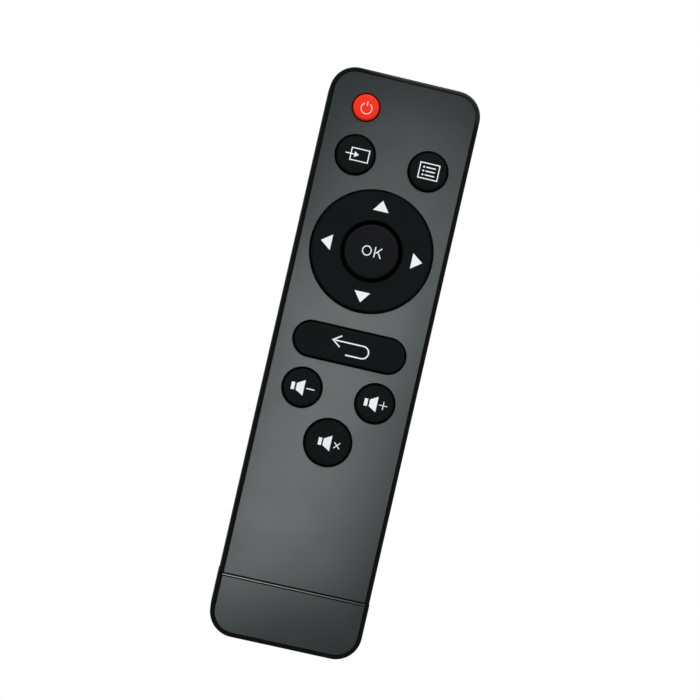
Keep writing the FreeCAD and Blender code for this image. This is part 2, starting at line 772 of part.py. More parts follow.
round_edges(rear_case, rear_step, "back_round - cap_wall", step_back_edge)
sketch = new_sketch(rear_case, "rear_lip_block", level="parting_height")
rectangle(
    sketch, "-(inner_half_width + lip_thickness)", "inner_half_width + lip_thickness",
    "main_cavity_end + lip_clearance", "inner_end + lip_thickness", None,
    "inner_corner_radius + lip_thickness",
)
pad(rear_case, sketch, "lip_height")
sketch = new_sketch(rear_case, "rear_inside", level="back_wall")
rectangle(
    sketch, "-inner_half_width", "inner_half_width", "main_cavity_end", "inner_end",
    None, "inner_corner_radius",
)
inside = pocket(rear_case, sketch, "parting_height - back_wall + lip_height")
cavity_plane = value("main_cavity_end")


def inner_back_edge(edge, middle):
    return level_edges("back_wall")(edge, middle) and middle.y > cavity_plane + CLOSE


round_edges(rear_case, inside, "back_round - back_wall", inner_back_edge)
sketch = new_sketch(rear_case, "rear_step_inside", level="step_floor_top")
rectangle(
    sketch, "-step_inner_half_width", "step_inner_half_width", "step_inner_end",
    "main_cavity_end + cut_past", "step_corner_radius - step_wall",
)
pocket(rear_case, sketch, "parting_height - step_floor_top")
sketch = new_sketch(rear_case, "rear_tongue_opening")
rectangle(
    sketch, "-opening_half_width", "opening_half_width", "case_end - cut_past",
    "tongue_tip + tongue_clearance", None, "tongue_corner + tongue_clearance",
)
pocket(rear_case, sketch, "back_wall")
sketch = new_sketch(rear_case, "rear_bay_opening", level="back_wall")
rectangle(sketch, "-bay_inner", "bay_inner", "step_inner_end", "main_cavity_end + cut_past")
pocket(rear_case, sketch, "parting_height - back_wall")
sketch = new_sketch(rear_case, "rear_rail_way", level="step_bottom")
rectangle(sketch, "-bay_inner", "bay_inner", "step_end - cut_past", "case_end")
pocket(rear_case, sketch, "step_wall")
sketch = new_sketch(rear_case, "rear_bay_sides", level="back_wall - root_depth")
rectangle(sketch, "bay_inner", "bay_outer", "main_cavity_end - root_depth", "bay_wall_end")
rectangle(sketch, "-bay_outer", "-bay_inner", "main_cavity_end - root_depth", "bay_wall_end")
pad(rear_case, sketch, "bay_wall_top - back_wall + root_depth")
sketch = new_sketch(rear_case, "rear_bay_end", level="tongue_thickness + tongue_clearance")
rectangle(sketch, "-bay_outer", "bay_outer", "bay_end", "bay_wall_end")
pad(rear_case, sketch, "bay_wall_top - tongue_thickness - tongue_clearance")
sketch = new_sketch(
    rear_case, "rear_tab_slots", plane="XZ_Plane", level="-(bay_wall_end + cut_past)"
)
for side in SIDES:
    rectangle(
        sketch, f"{side} * cell_column - tab_width / 2 - tab_clearance",
        f"{side} * cell_column + tab_width / 2 + tab_clearance",
        "board_bottom - contact_thickness - tab_clearance", "board_bottom + tab_clearance",
    )
pocket(rear_case, sketch, "bay_wall + 2 * cut_past")
sketch = new_sketch(rear_case, "rear_board_posts", level="back_wall - root_depth")
for number in range(int(value("post_count"))):
    for side in SIDES:
        circle(sketch, f"{side} * post_column", f"post_row - {number} * post_pitch", "post_radius")
pad(rear_case, sketch, "board_bottom - post_gap - back_wall + root_depth")
sketch = new_sketch(rear_case, "rear_screw_bosses", level="step_floor_top - root_depth")
for side in SIDES:
    circle(sketch, f"{side} * case_screw_column", "case_screw_row", "rear_boss_radius")
pad(rear_case, sketch, "rear_boss_height - step_wall + root_depth")
for name, radius, depth in (
    ("rear_screw_holes", "case_screw_radius", "rear_boss_height + cut_past"),
    ("rear_screw_seats", "case_screw_head_radius", "case_screw_sink + case_screw_head_height"),
):
    sketch = new_sketch(rear_case, name, level="step_bottom - cut_past")
    for side in SIDES:
        circle(sketch, f"{side} * case_screw_column", "case_screw_row", f"{radius} + hole_clearance")
    pocket(rear_case, sketch, f"{depth} + cut_past")

# Battery cover: the end cap and its tongue with two rails
battery_cover = new_body("battery_cover")
sketch = new_sketch(battery_cover, "cap_outline")
rectangle(
    sketch, "-cap_half_width", "cap_half_width", "-half_length", "cap_edge", "cap_corner_radius"
)
cap_block = pad(battery_cover, sketch, "body_height")
cap_plane = value("cap_edge")


def cap_back_edge(edge, middle):
    return level_edges("0")(edge, middle) and middle.y < cap_plane - CLOSE


def cap_rim(edge, middle):
    return level_edges("body_height")(edge, middle) and middle.y < cap_plane - CLOSE


cap_block = round_edges(battery_cover, cap_block, "back_round", cap_back_edge)
round_edges(battery_cover, cap_block, "rim_round", cap_rim)
sketch = new_sketch(battery_cover, "cap_inside", level="cap_wall")
rectangle(
    sketch, "-cap_cavity_half_width", "cap_cavity_half_width", "cap_cavity_end", "cap_edge + cut_past",
    "cap_cavity_radius",
)
cap_inside = pocket(battery_cover, sketch, "cap_cavity_top - cap_wall")


def cap_inner_edge(edge, middle):
    return level_edges("cap_wall")(edge, middle) and middle.y < cap_plane - CLOSE


round_edges(battery_cover, cap_inside, "back_round - cap_wall", cap_inner_edge)
sketch = new_sketch(battery_cover, "cap_inlay_recess", level="inlay_bottom")
rectangle(
    sketch, "rim_width - cap_half_width", "cap_half_width - rim_width", "rim_width - half_length",
    "cap_edge - seam_lip", "cap_corner_radius - rim_width",
)
pocket(battery_cover, sketch, "inlay_thickness + cut_past")
sketch = new_sketch(battery_cover, "tongue_outline")
rectangle(
    sketch, "-tongue_half_width", "tongue_half_width", "cap_edge - root_depth", "tongue_tip", None,
    "tongue_corner",
)
pad(battery_cover, sketch, "tongue_thickness")
sketch = new_sketch(battery_cover, "rail_webs", level="tongue_thickness - root_depth")
rectangle(sketch, "rail_inner", "rail_inner + rail_thickness", "rail_low_end", "rail_high_end")
rectangle(sketch, "-(rail_inner + rail_thickness)", "-rail_inner", "rail_low_end", "rail_high_end")
pad(battery_cover, sketch, "rail_top - tongue_thickness + root_depth")
sketch = new_sketch(battery_cover, "rail_flanges", level="rail_bottom")
rectangle(sketch, "rail_inner", "rail_outer", "rail_low_end", "rail_high_end")
rectangle(sketch, "-rail_outer", "-rail_inner", "rail_low_end", "rail_high_end")
pad(battery_cover, sketch, "rail_thickness")
sketch = new_sketch(battery_cover, "grip_groove", up="grip_end + grip_width / 2")
stadium(sketch, "(grip_length - grip_width) / 2", "grip_width / 2")
groove = pocket(battery_cover, sketch, "grip_depth")
pattern(battery_cover, groove, "Y_Axis", "grip_pitch * (grip_count - 1)", "grip_count")

# Gloss inlays
front_panel = new_body("front_panel")
sketch = new_sketch(front_panel, "front_panel_outline", level="inlay_bottom")
rectangle(
    sketch, "rim_width + inlay_clearance - half_width", "half_width - rim_width - inlay_clearance",
    "case_end", "half_length - rim_width - inlay_clearance", None,
    "corner_radius - rim_width - inlay_clearance",
)
pad(front_panel, sketch, "inlay_thickness")
sketch = new_sketch(front_panel, "front_panel_openings", level="inlay_bottom - cut_past")
all_key_openings(sketch, "0")
pocket(front_panel, sketch, "inlay_thickness + 2 * cut_past")
sketch = back_opening(front_panel, "front_panel_back_opening", "inlay_bottom - cut_past", "0")
panel_openings = pocket(front_panel, sketch, "inlay_thickness + 2 * cut_past")
round_edges(
    front_panel, panel_openings, "inlay_chamfer", level_edges("body_height"), "PartDesign::Chamfer"
)
cover_panel = new_body("cover_panel")
sketch = new_sketch(cover_panel, "cover_panel_outline", level="inlay_bottom")
rectangle(
    sketch, "rim_width + inlay_clearance - cap_half_width",
    "cap_half_width - rim_width - inlay_clearance", "rim_width + inlay_clearance - half_length",
    "cap_edge - seam_lip - inlay_clearance", "cap_corner_radius - rim_width - inlay_clearance",
)
cover_plate = pad(cover_panel, sketch, "inlay_thickness")
round_edges(
    cover_panel, cover_plate, "inlay_chamfer", level_edges("body_height"), "PartDesign::Chamfer"
)


# Keys: a crowned top, a flange that holds it under the web, and a plunger with a carbon pill
def round_key(name, column, line, opening, key_radius, pill):
    body = new_body(name, column, line)
    sketch = new_sketch(body, name + "_profile", plane="XZ_Plane")
    plunger = f"{pill} + plunger_extra"
    flange = f"{opening} + flange_reach"
    points = [
        ("0", "pill_top"), (plunger, "pill_top"), (plunger, "flange_bottom"),
        (flange, "flange_bottom"), (flange, "flange_top"), (key_radius, "flange_top"),
        (key_radius, "key_shoulder"), ("0", "key_top"),
    ]
    profile(sketch, points, crowned=True)
    turned = revolve(body, sketch)
    round_edges(body, turned, "key_round", level_edges("key_shoulder"))


def carbon_pill(name, column, line, pill):
    cylinder = keep(doc.addObject("Part::Cylinder", name), name, column, line, "pill_bottom")
    cylinder.setExpression("Radius", tie(pill))
    cylinder.setExpression("Height", tie("pill_thickness"))


def key_skirt(name, column, line, opening):
    """The thin rubber cone that stands on the mat and springs a key back."""
    body = new_body(name, column, line)
    sketch = new_sketch(body, name + "_profile", plane="XZ_Plane")
    base = f"{opening} - skirt_inset"
    top = f"{opening} - skirt_inset - skirt_slope"
    points = [
        (f"{base} - skirt_wall", "mat_top"), (base, "mat_top"), (top, "flange_bottom"),
        (f"{top} - skirt_wall", "flange_bottom"),
    ]
    profile(sketch, points)
    revolve(body, sketch)


for name, column, line, opening, pill in ROUND_KEYS:
    round_key(name, column, line, opening, f"{opening} - key_gap", pill)
    carbon_pill(name + "_pill", column, line, pill)
    key_skirt(name + "_skirt", column, line, opening)
round_key("ok_key", "0", "dpad_row", "ok_bore_radius", "ok_key_radius", "pill_radius")
carbon_pill("ok_key_pill", "0", "dpad_row", "pill_radius")
key_skirt("ok_key_skirt", "0", "dpad_row", "ok_bore_radius")

# Back key, as wide as the direction pad, with two pills
back_key = new_body("back_key", "0", "back_row")
sketch = new_sketch(back_key, "back_key_flange", level="flange_bottom")
stadium(sketch, "back_straight", "back_opening_radius + flange_reach")
pad(back_key, sketch, "key_flange")
sketch = new_sketch(back_key, "back_key_plungers", level="pill_top")
for side in SIDES:
    circle(sketch, f"{side} * back_pill_spacing / 2", "0", "pill_radius + plunger_extra")
pad(back_key, sketch, "flange_bottom - pill_top + root_depth")
sketch = new_sketch(back_key, "back_key_top", level="flange_top")
stadium(sketch, "back_straight", "back_key_radius")
back_top = pad(back_key, sketch, "key_top - flange_top")
round_edges(back_key, back_top, "key_round", level_edges("key_top"))
back_pills = new_body("back_key_pills", "0", "back_row")
sketch = new_sketch(back_pills, "back_key_pill_discs", level="pill_bottom")
for side in SIDES:
    circle(sketch, f"{side} * back_pill_spacing / 2", "0", "pill_radius")
pad(back_pills, sketch, "pill_thickness")
back_skirt = new_body("back_key_skirt", "0", "back_row")
sketch = new_sketch(back_skirt, "back_key_skirt_wall", level="mat_top")
stadium(sketch, "back_straight", "back_skirt_radius")
stadium(sketch, "back_straight", "back_skirt_radius - skirt_wall")
pad(back_skirt, sketch, "flange_bottom - mat_top")

# Direction pad: a dished ring that rocks on a soft ring, with four tabs and four pills
dpad_ring = new_body("dpad_ring", "0", "dpad_row")
sketch = new_sketch(dpad_ring, "dpad_profile", plane="XZ_Plane")
points = [
    ("dpad_relief_radius", "dpad_bottom"), ("dpad_radius", "dpad_bottom"), ("dpad_radius", "key_top"),
    ("ok_groove_radius", "key_top - dpad_dish"),
    ("ok_bore_radius", "key_top - dpad_dish - ok_groove_depth"),
    ("ok_bore_radius", "dpad_relief_top"), ("dpad_relief_radius", "dpad_relief_top"),
]
profile(sketch, points)
dpad_turned = revolve(dpad_ring, sketch)
round_edges(dpad_ring, dpad_turned, "key_round", level_edges("key_top"))
sketch = new_sketch(dpad_ring, "dpad_tabs", level="web_bottom - dpad_tab_gap - dpad_tab_thickness")
rectangle(
    sketch, "dpad_radius - dpad_tab_root", "dpad_opening_radius + flange_reach",
    "-dpad_tab_width / 2", "dpad_tab_width / 2",
)
tab = pad(dpad_ring, sketch, "dpad_tab_thickness")
polar(dpad_ring, tab, len(QUARTERS))
sketch = new_sketch(dpad_ring, "dpad_plungers", level="dpad_pill_top")
for across, along in QUARTERS:
    circle(sketch, f"{across} * dpad_pill_circle", f"{along} * dpad_pill_circle", "dpad_plunger_radius")
pad(dpad_ring, sketch, "dpad_bottom - dpad_pill_top + root_depth")
dpad_pills = new_body("dpad_pills", "0", "dpad_row")
sketch = new_sketch(dpad_pills, "dpad_pill_discs", level="dpad_pill_bottom")
for across, along in QUARTERS:
    circle(sketch, f"{across} * dpad_pill_circle", f"{along} * dpad_pill_circle", "small_pill_radius")
pad(dpad_pills, sketch, "pill_thickness")
dpad_skirts = new_body("dpad_skirts", "0", "dpad_row")
sketch = new_sketch(dpad_skirts, "dpad_skirt_walls", level="mat_top")
for across, along in QUARTERS:
    for radius in ("dpad_skirt_radius", "dpad_skirt_radius + skirt_wall"):
        circle(sketch, f"{across} * dpad_pill_circle", f"{along} * dpad_pill_circle", radius)
pad(dpad_skirts, sketch, "dpad_bottom - mat_top")
dpad_fulcrum = new_body("dpad_fulcrum", "0", "dpad_row")
sketch = new_sketch(dpad_fulcrum, "dpad_fulcrum_ring", level="fulcrum_bottom")
circle(sketch, "0", "0", "fulcrum_outer_radius")
circle(sketch, "0", "0", "fulcrum_inner_radius")
pad(dpad_fulcrum, sketch, "fulcrum_top - fulcrum_bottom")

# Circuit board, with a notch for the infrared lamp
circuit_board = new_body("circuit_board")
sketch = new_sketch(circuit_board, "board_outline", level="board_bottom")
rectangle(
    sketch, "-board_half_width", "board_half_width", "board_low_end", "board_end", None,
    "board_corner_radius",
)
pad(circuit_board, sketch, "board_thickness")


def lamp_notch(body, name, level):
    sketch = new_sketch(body, name, level=level)
    rectangle(sketch, "-notch_half_width", "notch_half_width", "notch_end", "board_end + cut_past")
    return sketch


sketch = lamp_notch(circuit_board, "board_notch", "board_bottom - cut_past")
pocket(circuit_board, sketch, "board_thickness + 2 * cut_past")
sketch = new_sketch(circuit_board, "board_screw_holes", level="board_bottom - cut_past")
for side in SIDES:
    for line in ("board_screw_upper_row", "board_screw_lower_row"):
        circle(sketch, f"{side} * board_screw_column", line, "board_screw_radius + hole_clearance")
pocket(circuit_board, sketch, "board_thickness + 2 * cut_past")
contact_pads = new_body("contact_pads")
sketch = new_sketch(contact_pads, "pad_discs", level="board_top")
for name, column, line, opening, pill in ROUND_KEYS:
    circle(sketch, column, line, f"{pill} + contact_pad_margin")
circle(sketch, "0", "dpad_row", "pill_radius + contact_pad_margin")
for side in SIDES:
    circle(
        sketch, f"{side} * back_pill_spacing / 2", "back_row", "pill_radius + contact_pad_margin"
    )
for across, along in QUARTERS:
    circle(
        sketch, f"{across} * dpad_pill_circle", f"dpad_row + {along} * dpad_pill_circle",
        "small_pill_radius + contact_pad_margin",
    )
pad(contact_pads, sketch, "contact_pad_thickness")

# Silicone mat under the keys
keypad_mat = new_body("keypad_mat")
sketch = new_sketch(keypad_mat, "mat_outline", level="board_top")
rectangle(
    sketch, "mat_margin - board_half_width", "board_half_width - mat_margin", "board_low_end",
    "board_end - mat_margin", None, "board_corner_radius - mat_margin",
)
pad(keypad_mat, sketch, "mat_thickness")
sketch = lamp_notch(keypad_mat, "mat_notch", "board_top - cut_past")
pocket(keypad_mat, sketch, "mat_thickness + 2 * cut_past")
sketch = new_sketch(keypad_mat, "mat_holes", level="board_top - cut_past")
for name, column, line, opening, pill in ROUND_KEYS:
    circle(sketch, column, line, f"{opening} - skirt_inset - skirt_wall")
circle(sketch, "0", "dpad_row", "ok_bore_radius - skirt_inset - skirt_wall")
for across, along in QUARTERS:
    circle(
        sketch, f"{across} * dpad_pill_circle", f"dpad_row + {along} * dpad_pill_circle",
        "dpad_skirt_radius",
    )
for side in SIDES:
    for line in ("board_screw_upper_row", "board_screw_lower_row"):
        circle(sketch, f"{side} * board_screw_column", line, "board_boss_radius + mat_hole_margin")
pocket(keypad_mat, sketch, "mat_thickness + 2 * cut_past")
sketch = new_sketch(keypad_mat, "mat_back_hole", level="board_top - cut_past", up="back_row")
stadium(sketch, "back_straight", "back_skirt_radius - skirt_wall")
pocket(keypad_mat, sketch, "mat_thickness + 2 * cut_past")

# Infrared lamp and the dark window in front of it
infrared_lamp = new_body("infrared_lamp", "0", "lamp_base", "lamp_height")
sketch = new_sketch(infrared_lamp, "lamp_profile")
points = [
    ("0", "0"), ("lamp_flange_radius", "0"), ("lamp_flange_radius", "lamp_flange_height"),
    ("lamp_radius", "lamp_flange_height"), ("lamp_radius", "lamp_length - lamp_radius"),
    ("0", "lamp_length"),
]
profile(sketch, points, crowned=True)
revolve(infrared_lamp, sketch)
sketch = new_sketch(infrared_lamp, "lamp_leads", plane="XZ_Plane", level="-root_depth")
for side in SIDES:
    rectangle(
        sketch, f"{side} * lamp_lead_spacing / 2 - lamp_lead / 2",
        f"{side} * lamp_lead_spacing / 2 + lamp_lead / 2", "-lamp_lead / 2", "lamp_lead / 2",
    )
pad(infrared_lamp, sketch, "lamp_lead_length + root_depth")
infrared_window = new_body("infrared_window")
sketch = new_sketch(infrared_window, "window_plug", plane="XZ_Plane", level="-half_length")
rectangle(
    sketch, "window_clearance - window_width / 2", "window_width / 2 - window_clearance",
    "window_bottom + window_clearance", "window_top - window_clearance",
    "window_corner - window_clearance", "window_corner - window_clearance",
)
pad(infrared_window, sketch, "side_wall + root_depth")
sketch = new_sketch(infrared_window, "window_flange_plate", plane="XZ_Plane", level="-inner_end")
rectangle(
    sketch, "-window_width / 2 - window_flange", "window_width / 2 + window_flange",
    "window_bottom - window_flange", "window_top + window_flange",
)
pad(infrared_window, sketch, "window_flange_thickness")

# Small parts under the board
controller_chip = new_body("controller_chip", "0", "half_length - chip_from_end")
sketch = new_sketch(controller_chip, "chip_body", level="board_bottom - board_part_gap")
rectangle(sketch, "-chip_width / 2", "chip_width / 2", "-chip_length / 2", "chip_length / 2")
pad(controller_chip, sketch, "chip_height", down=True)
sketch = new_sketch(controller_chip, "chip_leads", level="board_bottom")
for side in SIDES:
    middle = f"{side} * (chip_width + chip_lead_reach - root_depth) / 2"
    half = "(chip_lead_reach + root_depth) / 2"
    rectangle(
        sketch, f"{middle} - {half}", f"{middle} + {half}",
        "-chip_lead_pitch * (chip_lead_count - 1) / 2 - chip_lead_width / 2",
        "-chip_lead_pitch * (chip_lead_count - 1) / 2 + chip_lead_width / 2",
    )
leads = pad(controller_chip, sketch, "chip_lead_thickness", down=True)
pattern(controller_chip, leads, "Y_Axis", "chip_lead_pitch * (chip_lead_count - 1)", "chip_lead_count")
capacitor = new_body(
    "capacitor", "part_column", "bay_wall_end + capacitor_from_bay",
    "board_bottom - board_part_gap - capacitor_radius",
)
sketch = new_sketch(capacitor, "capacitor_profile")
waist = "capacitor_radius - capacitor_crimp_depth"
crimp_end = "capacitor_crimp_start + capacitor_crimp_width"
points = [
    ("0", "0"), ("capacitor_radius", "0"), ("capacitor_radius", "capacitor_crimp_start"),
    (waist, "capacitor_crimp_start + capacitor_crimp_depth"),
    (waist, f"{crimp_end} - capacitor_crimp_depth"), ("capacitor_radius", crimp_end),
    ("capacitor_radius", "capacitor_length"), ("0", "capacitor_length"),
]
profile(sketch, points)
revolve(capacitor, sketch)
resonator = new_body("resonator", "-part_column", "half_length - resonator_from_end")
sketch = new_sketch(resonator, "resonator_outline", level="board_bottom")
stadium(sketch, "(resonator_length - resonator_width) / 2", "resonator_width / 2")
pad(resonator, sketch, "resonator_height", down=True)
lamp_transistor = new_body("lamp_transistor", "part_column", "half_length - transistor_from_end")
sketch = new_sketch(lamp_transistor, "transistor_round", level="board_bottom")
circle(sketch, "0", "0", "transistor_radius")
pad(lamp_transistor, sketch, "transistor_height", down=True)
sketch = new_sketch(lamp_transistor, "transistor_face", level="board_bottom")
rectangle(
    sketch, "-transistor_radius - cut_past", "transistor_radius + cut_past",
    "-transistor_radius - cut_past", "-transistor_flat",
)
pocket(lamp_transistor, sketch, "transistor_height + cut_past", along_normal=False)
resistors = new_body("resistors", "-part_column", "half_length - resistor_from_end")
sketch = new_sketch(resistors, "resistor_block", level="board_bottom")
for number in range(int(value("resistor_count"))):
    rectangle(
        sketch, "-resistor_length / 2", "resistor_length / 2",
        f"-{number} * resistor_pitch - resistor_width / 2",
        f"-{number} * resistor_pitch + resistor_width / 2",
    )
pad(resistors, sketch, "resistor_height", down=True)


# Cells and their contacts
def cell(name, column, start, nub_up):
    """A size AAA cell lying along Y, with its nub towards the infrared end or towards the cap."""
    body = new_body(name, column, start, "cell_height")
    sketch = new_sketch(body, name + "_profile")
    points = [("0", "0"), ("cell_radius", "0"), ("cell_radius", "cell_length - nub_height")]
    points += [("nub_radius", "cell_length - nub_height"), ("nub_radius", "cell_length")]
    points += [("0", "cell_length")]
    if not nub_up:
        points = [(across, f"cell_length - ({along})") for across, along in reversed(points)]
    profile(sketch, points)
    turned = revolve(body, sketch)
    can = value("cell_radius")

    def can_edge(edge, middle):
        return abs(edge.BoundBox.XLength - 2 * can) < CLOSE and edge.BoundBox.YLength < CLOSE
    round_edges(body, turned, "cell_round", can_edge)


cell("battery_one", "-cell_column", "upper_contact_face - cell_length", True)
cell("battery_two", "cell_column", "lower_contact_face", False)


def contact_plate(name, left, right, front):
    """A flat contact that stands on a wall of the bay, with its thickness behind its front face."""
    body = new_body(name)
    sketch = new_sketch(body, name + "_plate", plane="XZ_Plane", level=f"-({front})")
    rectangle(sketch, left, right, "contact_bottom", "contact_top")
    pad(body, sketch, "contact_thickness")
    return body


contact_plate(
    "bridge_contact", "-cell_column - contact_width / 2", "cell_column + contact_width / 2",
    "lower_contact_face",
)
for name, side in (("positive_contact", "-1"), ("negative_contact", "1")):
    middle = f"{side} * cell_column"
    body = contact_plate(
        name, f"{middle} - contact_width / 2", f"{middle} + contact_width / 2", "bay_end"
    )
    sketch = new_sketch(body, name + "_tab", level="board_bottom - contact_thickness")
    rectangle(
        sketch, f"{middle} - tab_width / 2", f"{middle} + tab_width / 2",
        "upper_contact_face + contact_thickness / 2", "bay_wall_end + tab_length",
    )
    pad(body, sketch, "contact_thickness")


def arc_pair(start, start_way, end, end_way):
    """Two arcs that meet smoothly and leave start and reach end in the given directions."""
    span = end - start
    both = start_way + end_way
    spare = 2 * (1 - start_way.dot(end_way))
    reach = (math.sqrt(span.dot(both) ** 2 + spare * span.dot(span)) - span.dot(both)) / spare
    first_knee = start + start_way * reach
    second_knee = end - end_way * reach
    meeting = (first_knee + second_knee) * 0.5
    edges = []
    for low, knee, high in ((start, first_knee, meeting), (meeting, second_knee, end)):
        chord_middle = (low + high) * 0.5
        half_chord = (high - low).Length / 2
        lean = math.acos(half_chord / (knee - low).Length)
        out = knee - chord_middle
        out.normalize()
        crest = chord_middle + out * (half_chord * math.tan(lean / 2))
        edges.append(Part.Arc(low, crest, high).toShape())
    return edges


def contact_spring(name, column, start, turned):
    """A conical spring along Y, wide at its contact and narrow at the cell, from quarter turns."""
    wire = value("spring_wire")
    end_gap = value("spring_end_gap")
    run = value("spring_length") - wire - 2 * end_gap
    turns = int(value("spring_turns"))
    wide = value("spring_wide_radius")
    narrow = value("spring_narrow_radius")

    def place(share):
        angle = 2 * math.pi * turns * share
        radius = wide + (narrow - wide) * share
        rise = wire / 2 + end_gap + run * share
        return Vector(radius * math.cos(angle), rise, radius * math.sin(angle))

    def way(share):
        step = 1e-5
        direction = place(share + step) - place(share - step)
        direction.normalize()
        return direction

    edges = []
    quarters = 4 * turns
    for number in range(quarters):
        low, high = number / quarters, (number + 1) / quarters
        edges += arc_pair(place(low), way(low), place(high), way(high))
    section = Part.Wire([Part.Circle(place(0), way(0), wire / 2).toShape()])
    solid = Part.Wire(edges).makePipeShell([section], True, False)
    solid = Part.Solid(solid) if solid.ShapeType == "Shell" else solid
    points_per_turn = 60
    count = points_per_turn * turns
    line = [place(number / count) for number in range(count + 1)]
    apart = 3 * points_per_turn // 4
    near = [
        (line[first] - line[second]).Length - wire
        for first in range(count + 1) for second in range(first + apart, count + 1)
    ]
    print(f"{name}: least gap between turns {min(near):.2f} mm")
    spring = doc.addObject("Part::Feature", name)
    spring.Shape = solid
    spring.Placement = FreeCAD.Placement(Vector(0, 0, 0), FreeCAD.Rotation(Vector(0, 0, 1), turned))
    keep(spring, name, column, start, "cell_height")


contact_spring("spring_one", "-cell_column", "lower_contact_face", 0)
contact_spring("spring_two", "cell_column", "upper_contact_face", 180)

# Screws: two join the halves of the case under the cap, four hold the board to the front
case_screws = new_body("case_screws")
sketch = new_sketch(case_screws, "case_screw_heads", level="case_screw_seat")
for side in SIDES:
    circle(sketch, f"{side} * case_screw_column", "case_screw_row", "case_screw_head_radius")
pad(case_screws, sketch, "case_screw_head_height")
sketch = new_sketch(
    case_screws, "case_screw_shanks", level="case_screw_seat + case_screw_head_height - root_depth"
)
for side in SIDES:
    circle(sketch, f"{side} * case_screw_column", "case_screw_row", "case_screw_radius")
pad(case_screws, sketch, "case_screw_length + root_depth")
for name, length, width in (
    ("case_screw_slots", "slot_reach", "slot_half_width"),
    ("case_screw_cross_slots", "slot_half_width", "slot_reach"),
):
    sketch = new_sketch(case_screws, name, level="case_screw_seat")
    for side in SIDES:
        middle = f"{side} * case_screw_column"
        rectangle(
            sketch, f"{middle} - {length}", f"{middle} + {length}",
            f"case_screw_row - {width}", f"case_screw_row + {width}",
        )
    pocket(case_screws, sketch, "case_screw_head_height / 2")
board_screws = new_body("board_screws")
sketch = new_sketch(board_screws, "board_screw_heads", level="board_bottom - board_screw_head_height")
for side in SIDES:
    for line in ("board_screw_upper_row", "board_screw_lower_row"):
        circle(sketch, f"{side} * board_screw_column", line, "board_screw_head_radius")
pad(board_screws, sketch, "board_screw_head_height")
sketch = new_sketch(board_screws, "board_screw_shanks", level="board_bottom - root_depth")
for side in SIDES:
    for line in ("board_screw_upper_row", "board_screw_lower_row"):
        circle(sketch, f"{side} * board_screw_column", line, "board_screw_radius")
pad(board_screws, sketch, "board_screw_length + root_depth")

# Check every object and every sub-part, then write the sub-parts
doc.recompute()
for item in doc.Objects:
    if "Invalid" in item.State or "Error" in item.State:
        raise ValueError(f"{item.Name} is {item.State}")
for piece in pieces:
    if piece.Shape.isNull() or not piece.Shape.isValid():
        raise ValueError(f"{piece.Label} has no valid shape")
os.makedirs("parts", exist_ok=True)
for piece in pieces:
    piece.Shape.exportStep(f"parts/{piece.Label}.step")
    print(f"{piece.Label}: {len(piece.Shape.Solids)} solid, {piece.Shape.Volume:.1f} mm3")
print(f"{len(pieces)} sub-parts")
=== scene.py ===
# %% [markdown]
# A slim remote control for a projector, dressed for a studio picture. The frame already holds every
# hard piece at its real size: two case halves, a sliding end cap, gloss inlays, rubber keys, and the
# board, cells and springs inside. What is left is the work of the moulder and the printer: the finish
# of each surface, the white symbols on the keys and the soft rubber skirts that spring them back.

# %% Load the frame
import math
import bmesh
import bpy
from mathutils import Matrix, Vector


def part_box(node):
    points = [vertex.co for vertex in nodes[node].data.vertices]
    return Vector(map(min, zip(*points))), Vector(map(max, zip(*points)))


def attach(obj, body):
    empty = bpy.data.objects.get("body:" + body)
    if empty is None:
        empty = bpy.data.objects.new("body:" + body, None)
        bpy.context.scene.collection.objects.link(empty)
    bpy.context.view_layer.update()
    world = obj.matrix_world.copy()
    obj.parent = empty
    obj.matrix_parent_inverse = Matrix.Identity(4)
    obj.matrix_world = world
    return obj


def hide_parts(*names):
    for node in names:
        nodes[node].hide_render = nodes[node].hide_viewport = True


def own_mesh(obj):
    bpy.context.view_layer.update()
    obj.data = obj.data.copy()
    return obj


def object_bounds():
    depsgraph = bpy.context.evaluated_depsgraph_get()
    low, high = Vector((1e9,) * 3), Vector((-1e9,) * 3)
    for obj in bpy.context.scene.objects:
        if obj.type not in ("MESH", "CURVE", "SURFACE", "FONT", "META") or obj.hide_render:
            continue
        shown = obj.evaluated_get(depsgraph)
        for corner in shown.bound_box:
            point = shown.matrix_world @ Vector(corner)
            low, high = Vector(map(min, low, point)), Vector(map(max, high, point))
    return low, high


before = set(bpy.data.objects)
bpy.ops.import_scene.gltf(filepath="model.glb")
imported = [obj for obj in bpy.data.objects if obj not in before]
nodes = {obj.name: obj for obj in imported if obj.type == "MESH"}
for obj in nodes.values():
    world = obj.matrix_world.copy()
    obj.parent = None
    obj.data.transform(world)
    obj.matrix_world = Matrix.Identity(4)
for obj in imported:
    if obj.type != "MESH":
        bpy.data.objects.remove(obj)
cad_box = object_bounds()
MM = 0.001
size = (cad_box[1] - cad_box[0]) / MM
print(f"{size.x:.1f} x {size.y:.1f} x {size.z:.1f} mm")

# %% [markdown]
# The picture looks almost straight down on the keys. A long lens from half a metre keeps the sides
# nearly parallel. The camera could be turned by hand until it fits, but its three directions are
# easier to write as vectors: the top of the remote leans right by 13 degrees in the frame, and the
# lens stands a few degrees over the left side, so a sliver of the left wall shows.

# %% Camera
PICTURE_SIDE = 700
PIXEL = 0.27409 * MM
LEAN = math.radians(12.906)
TILT = math.radians(3.4)
CAMERA_DISTANCE = 493.4 * MM
MIDDLE_IN_PICTURE = Vector((345.7, 363.85))
PANEL_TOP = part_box("front_panel")[1].z

